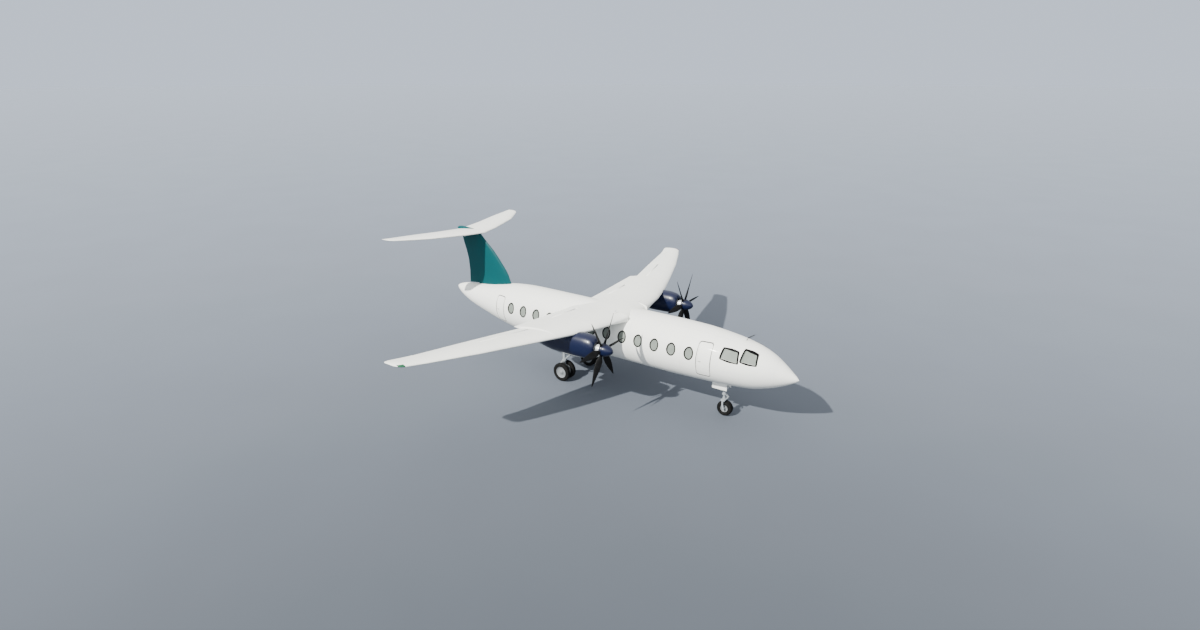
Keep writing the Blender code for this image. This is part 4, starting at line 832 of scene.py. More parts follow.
control_white = painted("control_white", (0.79, 0.79, 0.755), STREAK_GREY, grime=0.16, gloss=0.32)


def between(table, at):
    """Straight-line reading of a list of (place, value) points."""
    row = 0
    while row < len(table) - 2 and at > table[row + 1][0]:
        row += 1
    (a, u), (b, v) = table[row], table[row + 1]
    return u + (v - u) * (at - a) / (b - a)


def aerofoil(share, thick):
    """Half thickness of a symmetric section at a share of its chord, for a chord of 1."""
    f = min(max(share, 0.0), 1.0)
    return 5 * thick * (0.2969 * math.sqrt(f) - 0.1260 * f - 0.3516 * f ** 2 + 0.2843 * f ** 3 - 0.1015 * f ** 4)


def squeeze(x, start, end):
    """1 up to where a tip starts to round off, falling to 0 at its end."""
    return math.sqrt(1.0 - min(max((abs(x) - start) / (end - start), 0.0), 1.0) ** 2)


def wing_outline(x):
    """Leading edge, trailing edge, height and thickness at a distance from the centreline."""
    x = abs(x)
    lead, trail = between(WING_LEAD, x), between(INNER_TRAIL if x < WING_JOINT else OUTER_TRAIL, x)
    left = squeeze(x, WING_TIP_START, WING_TIP)
    share = TIP_CHORD + (1.0 - TIP_CHORD) * left
    middle = lead + TIP_LINE * (trail - lead)
    height = WING_ROOT_Z + WING_RISE * max(0.0, x - WING_BEND)
    thick = between(WING_THICK, x) * (TIP_THICK + (1.0 - TIP_THICK) * left)
    return middle + (lead - middle) * share, middle + (trail - middle) * share, height, thick


class LiftingSurface:
    """A wing or tailplane: its outline along the span, and its camber."""

    def __init__(self, outline, camber):
        self.outline, self.camber = outline, camber

    def point(self, x, share, up, grow=0.0):
        lead, trail, height, thick = self.outline(x)
        chord = trail - lead
        line = self.camber * chord * 4 * share * (1 - share)
        return Vector((x, lead + share * chord, height + line + up * (aerofoil(share, thick) * chord + grow)))

    def normal(self, point):
        lead, trail, height, thick = self.outline(point.x)
        share = min(max((point.y - lead) / (trail - lead), 0.002), 0.998)
        up = 1 if point.z > self.point(point.x, share, 0).z else -1
        chordwise = self.point(point.x, share + 0.001, up) - self.point(point.x, share - 0.001, up)
        spanwise = self.point(point.x + 0.003, share, up) - self.point(point.x - 0.003, share, up)
        return (up * spanwise.cross(chordwise)).normalized()


WING = LiftingSurface(wing_outline, WING_CAMBER)


def merged_copy(node, name):
    """A copy of a CAD node's mesh with its doubles merged."""
    shape = bmesh.new()
    shape.from_mesh(nodes[node].data)
    bmesh.ops.remove_doubles(shape, verts=shape.verts, dist=0.0001)
    mesh = bpy.data.meshes.new(name)
    shape.to_mesh(mesh)
    shape.free()
    thing = bpy.data.objects.new(name, mesh)
    bpy.context.scene.collection.objects.link(thing)
    return thing


SKIN_ANGLE = 30.0
SKIN_CLOSENESS = 0.93


def dress(node, material, normal_at):
    """A smoothly shaded copy of a CAD node with its finished surface."""
    thing = merged_copy(node, f"{node}_skin")
    one_finish(thing, material)
    skin_shading(thing, normal_at, SKIN_ANGLE, SKIN_CLOSENESS)
    return finish_piece(thing, nodes[node]["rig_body"], slot_of[node], node)


for node in ("wing_centre", "outer_wing_left", "outer_wing_right"):
    dress(node, wing_white, WING.normal)
for word in ("left", "right"):
    for control in ("inner_flap", "outer_flap", "aileron"):
        dress(f"{control}_{word}", control_white, WING.normal)

# Wing root fairing. A thin moulded glove wraps the leading edge where it meets the fuselage, and
# closes the corner there. It fades into the wing's skin a little way back and outboard.
GLOVE_INNER, GLOVE_OUTER = 0.95, 1.95
GLOVE_DEPTH = 0.10
GLOVE_CHORD = 0.16
GLOVE_SUNK = 0.004
GLOVE_STEPS = 12


def shares(count):
    """Numbers spaced evenly from 0 to 1."""
    return [k / count for k in range(count + 1)]


def carried(name, rings, material=None, smooth=True, angle=35.0):
    """A closed solid whose section is carried on from ring to ring."""
    shape = bmesh.new()
    face = shape.faces.new([shape.verts.new(point) for point in rings[0]])
    for number, ring in enumerate(rings[1:]):
        made = bmesh.ops.extrude_face_region(shape, geom=[face])["geom"]
        if number:
            shape.faces.remove(face)
        face = of_kind(made, bmesh.types.BMFace)[0]
        for vert, point in zip(face.verts, ring):
            vert.co = point
    return new_object(name, shape, material, smooth, angle)


def smooth_finish(thing, material, angle=35.0):
    one_finish(thing, material)
    thing.data.shade_smooth()
    thing.data.set_sharp_from_angle(angle=math.radians(angle))


def glove_ring(x, depth):
    """The wing's section there, swollen at its nose and sunk below the skin further back."""
    run = [GLOVE_CHORD * 1.5 * (0.5 + 0.5 * math.cos(math.pi * k / 14)) for k in range(15)]
    ring = []
    for up, places in ((1, run), (-1, run[-2::-1])):
        for place in places:
            fade = max(0.0, 1.0 - place / GLOVE_CHORD)
            point = WING.point(x, place, up, depth * fade ** 1.5 - GLOVE_SUNK)
            point.y -= depth * fade ** 3
            ring.append(point)
    return ring


for side, word in SIDES:
    glove = carried("glove", [glove_ring(side * (GLOVE_INNER + (GLOVE_OUTER - GLOVE_INNER) * share),
                                         GLOVE_DEPTH * (1 - share) ** 2.2) for share in shares(GLOVE_STEPS)])
    cut(glove, merged_copy("wing_centre", "tool"))
    cut(glove, hull_tube("core", -4.0, 2.0, -0.001))
    glove.name = f"root_fairing_{word}"
    smooth_finish(glove, wing_white, 40)
    finish_piece(glove, "airframe", "wing_white")

# Tail. Fin and rudder wear the one strong colour of the aircraft, a deep teal enamel. The tailplane
# on top is white, with a teal fairing over its middle.
FIN_LEAD = [(3.9, 6.42), (4.45, 6.515), (4.92, 6.685), (5.25, 6.90), (5.80, 7.355),
            (6.30, 7.81), (6.80, 8.38), (7.20, 8.80), (7.40, 9.00)]
FIN_TRAIL = [(3.9, 9.96), (4.76, 9.915), (5.53, 9.975), (6.02, 10.105), (6.50, 10.275),
             (7.00, 10.41), (7.40, 10.49)]
FIN_THICK = 0.105
FIN_TOP = 7.33
STAB_LEAD = [(0.0, 8.42), (1.2, 8.66), (2.2, 8.98), (3.4, 9.38), (4.4, 9.98), (5.0, 10.38)]
STAB_TRAIL = [(0.0, 10.42), (1.73, 10.64), (3.29, 10.98), (4.86, 11.22), (5.3, 11.2975)]
TEAL = (0.0010, 0.054, 0.061)
TEAL_DIRT = (0.006, 0.045, 0.048)
STAB_TIP_START, STAB_TIP = 5.0, 5.3
STAB_HEIGHT, STAB_RISE, STAB_THICK, STAB_TIP_CHORD = 7.34, 0.04, 0.11, 0.3
BULLET_FRONT, BULLET_BACK = 9.00, 10.75
BULLET_NARROW = 0.75
fin_teal = painted("fin_teal", TEAL, TEAL_DIRT, grime=0.25, gloss=0.36, coat=0.03, shine=0.12,
                   joints=[("Z", 0.62, 0.1, 0.005)])
rudder_teal = painted("rudder_teal", TEAL, TEAL_DIRT, grime=0.20, gloss=0.38, coat=0.03, shine=0.12)
tail_white = painted("tail_white", WHITE, STREAK_GREY, grime=0.14, joints=[("X", 1.2, 0.0, 0.005)])


def stab_outline(x):
    trail = between(STAB_TRAIL, abs(x))
    left = squeeze(x, STAB_TIP_START, STAB_TIP)
    lead = trail + (between(STAB_LEAD, abs(x)) - trail) * (STAB_TIP_CHORD + (1.0 - STAB_TIP_CHORD) * left)
    return lead, trail, STAB_HEIGHT + STAB_RISE * abs(x), STAB_THICK * (TIP_THICK + (1.0 - TIP_THICK) * left)


def fin_half(y, z):
    """Half the fin's thickness at a point of its side view."""
    lead, trail = between(FIN_LEAD, z), between(FIN_TRAIL, z)
    return aerofoil((y - lead) / (trail - lead), FIN_THICK) * (trail - lead)


def fin_normal(point):
    lead, trail = between(FIN_LEAD, point.z), between(FIN_TRAIL, point.z)
    y = min(max(point.y, lead + 0.006), trail - 0.006)
    back = (fin_half(y + 0.004, point.z) - fin_half(y - 0.004, point.z)) / 0.008
    rise = (fin_half(y, point.z + 0.02) - fin_half(y, point.z - 0.02)) / 0.04
    return Vector((math.copysign(1.0, point.x), -back, -rise)).normalized()


STAB = LiftingSurface(stab_outline, 0.0)
dress("fin", fin_teal, fin_normal)
dress("rudder", rudder_teal, fin_normal)
dress("tailplane", tail_white, STAB.normal)
for word in ("left", "right"):
    dress(f"elevator_{word}", control_white, STAB.normal)

rings = []
for share in shares(28):
    size = 0.012 + 0.19 * share ** 0.4 * math.sqrt(1.0 - share ** 8)
    y = BULLET_FRONT + (BULLET_BACK - BULLET_FRONT) * share
    rings.append([Vector((BULLET_NARROW * size * math.sin(turn), y, FIN_TOP + SEAT + size * math.cos(turn)))
                  for turn in (math.pi * (step - 0.5) for step in shares(24))])
bullet = carried("tail_bullet_skin", rings)
cut(bullet, merged_copy("tailplane", "tool"))
smooth_finish(bullet, fin_teal)
finish_piece(bullet, "airframe", "fin_teal", "tail_bullet")

# Nacelles. Smooth cowls of bonded sheet in high-gloss navy, with a rolled lip at the mouth. They are
# hinged on top, so that they open for work on the engine, and held by flush latches below.
ENGINE_X = 4.09
SHAFT_HEIGHT = 3.85
NACELLE = [
    (-2.66, 0.33, 0.36, 3.84), (-2.60, 0.40, 0.46, 3.84), (-2.43, 0.46, 0.56, 3.84),
    (-2.05, 0.50, 0.615, 3.84), (-1.20, 0.51, 0.63, 3.83), (-0.20, 0.50, 0.63, 3.83),
    (0.45, 0.45, 0.58, 3.86), (0.95, 0.34, 0.44, 3.97), (1.25, 0.19, 0.25, 4.13),
    (1.42, 0.06, 0.09, 4.25),
]
NACELLE_SIDES = 72
NACELLE_POWER = 0.86
NACELLE_PLACES = [-2.645, -2.63, -2.60, -2.55, -2.49, -2.41, -2.28, -2.12, -1.95] + [
    -1.8 + 0.2 * k for k in range(13)] + [0.75, 0.88, 0.98, 1.07, 1.16, 1.25, 1.32, 1.40]
LIP = [(-2.58, 0.270), (-2.625, 0.273), (-2.650, 0.286), (-2.659, 0.305)]
NAVY = (0.0020, 0.0046, 0.0240)
NAVY_DIRT = (0.010, 0.013, 0.030)
nacelle_navy = painted("nacelle_navy", NAVY, NAVY_DIRT, grime=0.20, gloss=0.33, coat=0.10, shine=0.35,
                       joints=[("Y", 1.15, -2.2, 0.006)])
spinner_navy = painted("spinner_navy", NAVY, NAVY_DIRT, grime=0.2, gloss=0.34, coat=0.08, shine=0.25)


def squared(value, power):
    """A sine or cosine pushed outward, for a section squarer than an ellipse."""
    return math.copysign(abs(value) ** power, value)


def nacelle_ring(side, y, wide, tall, height, round_share=0.0):
    ring = []
    for turn in turns(NACELLE_SIDES):
        sine = squared(math.sin(turn), NACELLE_POWER) * (1 - round_share) + math.sin(turn) * round_share
        cosine = squared(math.cos(turn), NACELLE_POWER) * (1 - round_share) + math.cos(turn) * round_share
        ring.append(Vector((side * ENGINE_X + wide * sine, y, height + tall * cosine)))
    return ring


for side, word in SIDES:
    rings = [nacelle_ring(side, y, radius, radius, SHAFT_HEIGHT, 1.0) for y, radius in LIP]
    for y in NACELLE_PLACES:
        wide, tall, height = (smooth_reading(NACELLE, y, column) for column in (1, 2, 3))
        rings.append(nacelle_ring(side, y, wide, tall, height, max(0.0, (-2.60 - y) / 0.06)))
    cowl = carried(f"nacelle_{word}_cowl", rings)
    inside = [(-2.75, 0.0), (-2.75, 0.27), (-2.51, 0.27), (-2.51, 0.40), (-0.85, 0.40), (-0.85, 0.0)]
    cut(cowl, spun("inside", inside, (side * ENGINE_X, 0, SHAFT_HEIGHT), (0, 1, 0), None))
    cut(cowl, merged_copy("wing_centre", "tool"))
    smooth_finish(cowl, nacelle_navy)
    finish_piece(cowl, "airframe", "nacelle_navy", f"nacelle_{word}")

# Engines. Behind the propeller shows the gearbox, a machined light-alloy case with a bolted flange.
# The rest of the engine fills the cowl and is out of sight.
engine_silver = plain_finish("engine_silver", (0.66, 0.68, 0.70), (0.84, 0.86, 0.88), 12.0, 0.30, 0.45, 0.6)
ENGINE_PROFILE = [
    (-2.97, 0.0), (-2.97, 0.07), (-2.875, 0.07), (-2.870, 0.12), (-2.868, 0.195), (-2.862, 0.205),
    (-2.835, 0.21), (-2.80, 0.21), (-2.795, 0.190), (-2.73, 0.190), (-2.725, 0.207), (-2.69, 0.207),
    (-2.685, 0.195), (-2.30, 0.195), (-2.30, 0.33), (-0.85, 0.33), (-0.85, 0.0),
]


def ring_of_bolts(centre, axis, circle, count, radius, height):
    """Six-sided bolt heads with a chamfer, set on a circle."""
    along = Vector(axis).normalized()
    across = along.orthogonal().normalized()
    profile = [(0.0, 0.0), (0.0, radius), (height * 0.75, radius), (height, radius * 0.8), (height, 0.0)]
    return join_in("bolts", [spun("bolt", profile, Vector(centre) + Matrix.Rotation(turn, 3, along) @ across * circle,
                                  along, None, 6) for turn in turns(count)])


for side, word in SIDES:
    shaft = Vector((side * ENGINE_X, 0, SHAFT_HEIGHT))
    case = spun("case", ENGINE_PROFILE, shaft, (0, 1, 0), engine_silver)
    bolts = ring_of_bolts(shaft + Vector((0, -2.868, 0)), (0, -1, 0), 0.17, 16, 0.009, 0.012)
    engine = join_in(f"engine_{word}_case", [case, bolts], engine_silver)
    finish_piece(engine, "airframe", "engine_silver", f"engine_{word}")

# Propellers. Six broad composite blades, satin black, in a navy hub drum under a pointed navy
# spinner. Each blade is thick and nearly round at its root, where a collar holds it, and thin at its tip.
PROP_Y = -2.99
HUB_RADIUS = 0.31
HUB_FRONT, HUB_BACK = -3.09, -2.92
SPINNER_TIP = -3.57
BLADES = 6
BLADE_PLAN = [
    (0.24, 0.12, 0.112, 44), (0.42, 0.22, 0.110, 42), (0.62, 0.33, 0.086, 39),
    (0.95, 0.32, 0.062, 34), (1.30, 0.24, 0.042, 30), (1.60, 0.14, 0.027, 27),
    (1.78, 0.07, 0.017, 26), (1.86, 0.025, 0.010, 26),
]
BLADE_PLACES = [0.24, 0.30, 0.36, 0.42, 0.50, 0.58, 0.66, 0.76, 0.86, 0.96, 1.08, 1.20, 1.32, 1.44, 1.54,
                1.62, 1.70, 1.76, 1.80, 1.835, 1.858]
BLADE_SIDES = 24
COLLAR = [(0.285, 0.0), (0.285, 0.082), (0.318, 0.082), (0.326, 0.074), (0.332, 0.060), (0.332, 0.0)]
HUB_DRUM = [(HUB_BACK, 0.075), (HUB_BACK, 0.285), (HUB_BACK - 0.006, 0.300), (HUB_BACK - 0.02, HUB_RADIUS),
            (HUB_FRONT + 0.012, HUB_RADIUS), (HUB_FRONT + 0.006, 0.306), (HUB_FRONT, 0.304), (HUB_FRONT, 0.075)]
SPINNER_STEPS = 33
blade_black = plain_finish("blade_black", (0.0022, 0.0022, 0.0024), (0.0048, 0.0048, 0.0052), 6.0, 0.50, 0.65,
                           shine=0.10)


def blade_rings(hub, angle):
    """Sections of one blade from its root in the hub out to its tip."""
    out = Vector((math.cos(angle), 0, math.sin(angle)))
    around = Vector((-math.sin(angle), 0, math.cos(angle)))
    rings = []
    for reach in BLADE_PLACES:
        chord, thick, degrees = (smooth_reading(BLADE_PLAN, reach, column) for column in (1, 2, 3))
        pitch = math.radians(degrees)
        lead = around * math.cos(pitch) - Vector((0, 1, 0)) * math.sin(pitch)
        face = out.cross(lead)
        rings.append([hub + out * reach + lead * (chord / 2 * math.cos(turn)) + face * (thick / 2 * math.sin(turn))
                      for turn in turns(BLADE_SIDES)])
    return rings


back = HUB_FRONT - SEAT
SPINNER = [(back, 0.0), (back, HUB_RADIUS - 0.005), (back - 0.006, HUB_RADIUS - 0.0005)]
for k in range(1, SPINNER_STEPS):
    share = k / SPINNER_STEPS
    SPINNER.append((back + (SPINNER_TIP - HUB_FRONT) * share,
                    HUB_RADIUS * math.sqrt(1.0 - share ** 1.7) * (1.0 - 0.12 * share)))
SPINNER.append((SPINNER_TIP, 0.0))
for side, word in SIDES:
    body = f"propeller_{word}"
    shaft = Vector((side * ENGINE_X, 0, SHAFT_HEIGHT))
    hub = shaft + Vector((0, PROP_Y, 0))
    blades = []
    for turn in turns(BLADES):
        blades.append(carried("blade", blade_rings(hub, turn)))
        blades.append(spun("collar", COLLAR, hub, Vector((math.cos(turn), 0, math.sin(turn))), None, 32))
    finish_piece(join_in(f"propeller_{word}_blades", blades, blade_black), body, "blade_black", f"propeller_{word}")
    drum = spun(f"hub_drum_{word}", HUB_DRUM, shaft, (0, 1, 0), spinner_navy, 80, closed=True)
    finish_piece(drum, body, "spinner_navy")
    cone = spun(f"spinner_{word}_cone", SPINNER, shaft, (0, 1, 0), spinner_navy, 80)
    finish_piece(cone, body, "spinner_navy", f"spinner_{word}")

# Main gear fairings. A long blister of moulded panels low on each side of the fuselage covers the
# gear's roots. The leg and its brace come out of holes in its underside.
MAIN_X, MAIN_Y = 1.28, 1.57
LEG_TOP = 2.05
LEG_RADIUS = 0.11
BRACE_LOW = Vector((0, -0.04, 1.22))
BRACE_WAY = Vector((0, -0.70, 1.85)) - BRACE_LOW
BRACE_RADIUS = 0.04
FAIRING_OUT, FAIRING_WIDE = 1.13, 0.43
FAIRING_FRONT, FAIRING_LONG = -0.9, 4.6
FAIRING_HEIGHT, FAIRING_TALL, FAIRING_POWER = 2.12, 0.56, 0.8
fairing_white = painted("fairing_white", WHITE, STREAK_GREY, grime=0.2, joints=[("Y", 0.92, 0.1, 0.005)])
for side, word in SIDES:
    rings = []
    for share in shares(40):
        size = max(0.02, math.sin(math.pi * share ** 0.85) ** 0.55)
        rings.append([Vector((side * FAIRING_OUT + FAIRING_WIDE * size * squared(math.sin(turn), FAIRING_POWER),
                              FAIRING_FRONT + FAIRING_LONG * share,
                              FAIRING_HEIGHT + FAIRING_TALL * size * squared(math.cos(turn), FAIRING_POWER)))
                      for turn in turns(56)])
    fairing = carried(f"gear_fairing_{word}_shell", rings)
    foot = Vector((side * MAIN_X, MAIN_Y, 0))
    cut(fairing, hull_tube("core", -1.4, 4.2, -0.0005))
    socket = rod(0.0, LEG_TOP + SEAT, LEG_RADIUS + SEAT)
    cut(fairing, spun("socket", socket, foot, (0, 0, 1), None, 40))
    bore = rod(0.0, BRACE_WAY.length + 0.002, BRACE_RADIUS + 0.004)
    cut(fairing, spun("bore", bore, foot + BRACE_LOW, BRACE_WAY, None, 24))
    smooth_finish(fairing, fairing_white)
    finish_piece(fairing, "airframe", "fairing_white", f"gear_fairing_{word}")

# Main legs. Each is a shock strut in grey enamel with a bright chromed slider, a folding brace ahead,
# a pair of torque links behind, a brake pack on each side of the foot, and hoses strapped down its back.
gear_grey = painted("gear_grey", (0.25, 0.27, 0.29), (0.09, 0.09, 0.09), grime=0.30, gloss=0.42)
chrome = plain_finish("chrome", (0.62, 0.64, 0.66), (0.78, 0.80, 0.82), 30.0, 0.10, 0.22, 0.95)
brake_steel = plain_finish("brake_steel", (0.05, 0.05, 0.055), (0.12, 0.12, 0.125), 20.0, 0.40, 0.60, 0.7)
hose_black = plain_finish("hose_black", (0.010, 0.010, 0.011), (0.022, 0.022, 0.024), 30.0, 0.5, 0.7)
MAIN_TYRE_RADIUS = 0.53
HOSE_STEPS = 8
HOSE_SLANT = Vector((0.31, 0.17, 0.93))


def hose(name, points, radius, material, sides=10):
    """A round hose through a list of points, with a smooth run between them."""
    rings = []
    count = HOSE_STEPS * (len(points) - 1)
    table = [(k, *point) for k, point in enumerate(points)]
    places = [Vector([smooth_reading(table, k / HOSE_STEPS, column) for column in (1, 2, 3)])
              for k in range(count + 1)]
    for k, middle in enumerate(places):
        way = (places[min(k + 1, count)] - places[max(k - 1, 0)]).normalized()
        across = way.cross(HOSE_SLANT).normalized()
        other = way.cross(across)
        rings.append([middle + radius * (across * math.cos(turn) + other * math.sin(turn)) for turn in turns(sides)])
    return carried(name, rings, material)


LEG_CYLINDER = [(1.10, 0.0), (1.10, 0.090), (1.108, 0.102), (1.13, LEG_RADIUS), (1.19, LEG_RADIUS), (1.20, 0.100),
                (1.80, 0.100), (1.81, LEG_RADIUS), (LEG_TOP, LEG_RADIUS), (LEG_TOP, 0.0)]
AXLE_BOSS = [(-0.09, 0.0455), (-0.09, 0.092), (-0.082, 0.10), (0.082, 0.10), (0.09, 0.092), (0.09, 0.0455)]
LEG_FOOT = [(0.60, 0.0), (0.60, 0.088), (0.66, 0.088), (0.68, 0.080), (0.70, 0.0)]
BRACE = [(0.0, 0.0), (0.0, BRACE_RADIUS), (0.34, BRACE_RADIUS), (0.345, 0.032), (0.50, 0.032),
         (0.505, BRACE_RADIUS), (BRACE_WAY.length, BRACE_RADIUS), (BRACE_WAY.length, 0.0)]
LINK_LOW = [(MAIN_Y + 0.075, 0.60), (MAIN_Y + 0.075, 0.70), (MAIN_Y + 0.265, 0.90), (MAIN_Y + 0.305, 0.87)]
LINK_HIGH = [(MAIN_Y + 0.085, 1.19), (MAIN_Y + 0.085, 1.10), (MAIN_Y + 0.265, 0.86), (MAIN_Y + 0.305, 0.90)]
LINK_HALF = 0.012
LINK_PIN = rod(-0.10, 0.10, 0.018)
SLIDER = rod(0.56, 1.11, 0.079)
BRAKE_PACK = [(0.092, 0.050), (0.092, 0.170), (0.100, 0.195), (0.150, 0.200), (0.156, 0.185), (0.156, 0.050)]
# Places of a hose down the back of a leg: share of its sideways offset, then back and height
HOSE_RUN = [(1.0, 0.118, 1.78), (1.0, 0.116, 1.35), (2.0, 0.150, 1.10), (3.0, 0.180, 0.86), (4.0, 0.130, 0.66),
            (4.2, 0.09, 0.60)]
for side, word in SIDES:
    foot = Vector((side * MAIN_X, MAIN_Y, 0))
    axle = foot + Vector((0, 0, MAIN_TYRE_RADIUS))
    pieces = [spun("cylinder", LEG_CYLINDER, foot, (0, 0, 1), None, 48),
              spun("boss", AXLE_BOSS, axle, (1, 0, 0), None, 40, closed=True),
              spun("foot", LEG_FOOT, foot, (0, 0, 1), None, 40),
              spun("brace", BRACE, foot + BRACE_LOW, BRACE_WAY, None, 24)]
    for offset in (-0.055, 0.055):
        for outline, x in ((LINK_LOW, foot.x + offset), (LINK_HIGH, foot.x + offset * 1.5)):
            pieces.append(slab("link", outline, x - LINK_HALF, x + LINK_HALF, 0.006))
    pieces.append(spun("pin", LINK_PIN, foot + Vector((0, 0.285, 0.885)), (1, 0, 0), None, 16))
    for low, high in ((Vector((-0.085, 0.04, 1.10)), Vector((0.085, 0.12, 1.20))),
                      (Vector((-0.07, -0.13, 1.20)), Vector((0.07, -0.06, 1.30)))):
        pieces.append(box_tool(foot + low, foot + high, "lug", 0.012))
    finish_piece(join_in(f"main_leg_{word}_strut", pieces, gear_grey), "airframe", "gear_grey", f"main_leg_{word}")
    finish_piece(spun(f"main_leg_{word}_slider", SLIDER, foot, (0, 0, 1), chrome, 40), "airframe", "engine_silver")
    packs = []
    for end in (-1, 1):
        packs.append(spun("pack", BRAKE_PACK, axle, (end, 0, 0), None, 48, closed=True))
        packs.append(ring_of_bolts(axle + Vector((end * 0.096, 0, 0)), (-end, 0, 0), 0.145, 7, 0.022, 0.030))
    finish_piece(join_in(f"brakes_{word}", packs, brake_steel), "airframe", "engine_silver")
    hoses = [hose("hose", [foot + Vector((offset * out, back, height)) for out, back, height in HOSE_RUN], 0.009, None)
             for offset in (-0.03, 0.03)]
    finish_piece(join_in(f"brake_hoses_{word}", hoses, hose_black), "airframe", "tyre_rubber")

# Main wheels. Two forged light-alloy wheels on one axle, each with a flanged rim, a dished web with
# a circle of tie bolts and a small cap, and a fat tyre with grooves round its tread.
hub_grey = painted("hub_grey", (0.18, 0.19, 0.20), (0.06, 0.06, 0.06), grime=0.35, gloss=0.40)
tyre_rubber = plain_finish("tyre_rubber", (0.0030, 0.0030, 0.0030), (0.0075, 0.0073, 0.0070), 9.0, 0.75, 0.92,
                           shine=0.12)
TYRE_CURVE = [(0.66, 0.0), (0.78, 0.04), (0.90, 0.15), (0.975, 0.29), (1.0, 0.43), (0.985, 0.58), (0.94, 0.73),
              (0.87, 0.84), (0.76, 0.92), (0.62, 0.975), (0.50, 1.0), (0.42, 1.0), (0.41, 0.95), (0.35, 0.95),
              (0.34, 1.0), (0.16, 1.0), (0.15, 0.95), (0.09, 0.95), (0.08, 1.0)]


def tyre(name, centre, radius, width, rim, material):
    """A tyre from half its section, mirrored, closed across the rim and spun."""
    half = [(width / 2 * out, rim + up * (radius - rim)) for out, up in TYRE_CURVE]
    return spun(name, half + [(-along, high) for along, high in reversed(half)], centre, (1, 0, 0), material, 96,
                closed=True, angle=40.0)


def mirrored(half):
    """A profile from its half at positive places along the axis."""
    return [(-along, radius) for along, radius in reversed(half)] + half


WHEEL_NEAR, WHEEL_FAR, RIM_RADIUS = 0.175, 0.345, 0.3197
TYRE_OUT, TYRE_WIDTH, TYRE_BEAD = 0.26, 0.25, 0.32
MAIN_WHEEL = mirrored([
    (WHEEL_NEAR, 0.045), (WHEEL_NEAR, 0.21), (WHEEL_NEAR + 0.03, 0.23), (WHEEL_NEAR + 0.03, RIM_RADIUS - 0.02),
    (WHEEL_NEAR, RIM_RADIUS - 0.012), (WHEEL_NEAR, RIM_RADIUS), (WHEEL_FAR, RIM_RADIUS),
    (WHEEL_FAR, RIM_RADIUS - 0.010), (WHEEL_FAR - 0.012, RIM_RADIUS - 0.024), (WHEEL_FAR - 0.045, RIM_RADIUS - 0.045),
    (WHEEL_FAR - 0.058, 0.215), (WHEEL_FAR - 0.062, 0.150), (WHEEL_FAR - 0.050, 0.122), (WHEEL_FAR - 0.016, 0.106),
    (WHEEL_FAR - 0.006, 0.085), (WHEEL_FAR + 0.002, 0.068), (WHEEL_FAR + 0.009, 0.052), (WHEEL_FAR + 0.010, 0.0)])
for side, word in SIDES:
    body = f"main_wheels_{word}"
    axle = Vector((side * MAIN_X, MAIN_Y, MAIN_TYRE_RADIUS))
    parts = [spun("wheels", MAIN_WHEEL, axle, (1, 0, 0), None, 72)]
    for end in (-1, 1):
        for out, circle, count, radius, height in ((WHEEL_FAR - 0.062, 0.182, 10, 0.012, 0.018),
                                                   (WHEEL_FAR - 0.004, 0.060, 6, 0.006, 0.012)):
            parts.append(ring_of_bolts(axle + Vector((end * out, 0, 0)), (end, 0, 0), circle, count, radius, height))
    finish_piece(join_in(f"main_hubs_{word}_wheels", parts, hub_grey), body, "hub_grey", f"main_hubs_{word}")
    for out, label in ((TYRE_OUT, "outer"), (-TYRE_OUT, "inner")):
        node = f"main_tyre_{word}_{label}"
        finish_piece(tyre(f"{node}_rubber", axle + Vector((side * out, 0, 0)), MAIN_TYRE_RADIUS, TYRE_WIDTH, TYRE_BEAD,
                          tyre_rubber), body, "tyre_rubber", node)

# Nose gear. A strut with a steering collar, a fork round one fat wheel, torque links ahead, and a
# taxi lamp. A flat white door hangs from the belly on each side of the bay.
STRUT_Y, AXLE_Y = -7.62, -7.70
NOSE_TYRE_RADIUS = 0.40
NOSE_TYRE_WIDTH, NOSE_TYRE_BEAD = 0.36, 0.20
NOSE_STRUT = [(1.10, 0.0625), (1.10, 0.080), (1.108, 0.09), (1.20, 0.09), (1.205, 0.080), (1.30, 0.080), (1.305, 0.09),
              (1.42, 0.09), (1.425, 0.078), (2.28, 0.078), (2.285, 0.09), (2.30, 0.09), (2.30, 0.0), (1.52, 0.0),
              (1.52, 0.0625)]
ACTUATOR = [(-0.16, 0.0), (-0.16, 0.020), (-0.15, 0.026), (0.10, 0.026), (0.105, 0.014), (0.17, 0.014), (0.17, 0.0)]
ACTUATOR_OUT = 0.13
STAY_WAY = Vector((0, 0.36, 0.62))
NOSE_PISTON = [(0.86, 0.0), (0.86, 0.07), (0.905, 0.078), (0.94, 0.078), (0.945, 0.062), (1.48, 0.062), (1.48, 0.0)]
FORK_ARM = [(AXLE_Y + 0.020, 0.89), (AXLE_Y + 0.012, 0.62), (AXLE_Y - 0.048, 0.44), (AXLE_Y - 0.046, 0.372),
            (AXLE_Y, 0.338), (AXLE_Y + 0.045, 0.365), (AXLE_Y + 0.092, 0.56), (AXLE_Y + 0.105, 0.89)]
FORK_INSIDE, FORK_OUTSIDE = 0.211, 0.259
STEERING_COLLAR = [(1.125, 0.097), (1.125, 0.116), (1.175, 0.116), (1.175, 0.097)]
NOSE_LINK_LOW = [(STRUT_Y - 0.12, 0.895), (STRUT_Y - 0.07, 0.895), (STRUT_Y - 0.215, 1.035), (STRUT_Y - 0.245, 1.01)]
NOSE_LINK_HIGH = [(STRUT_Y - 0.09, 1.17), (STRUT_Y - 0.09, 1.13), (STRUT_Y - 0.225, 1.005), (STRUT_Y - 0.25, 1.03)]
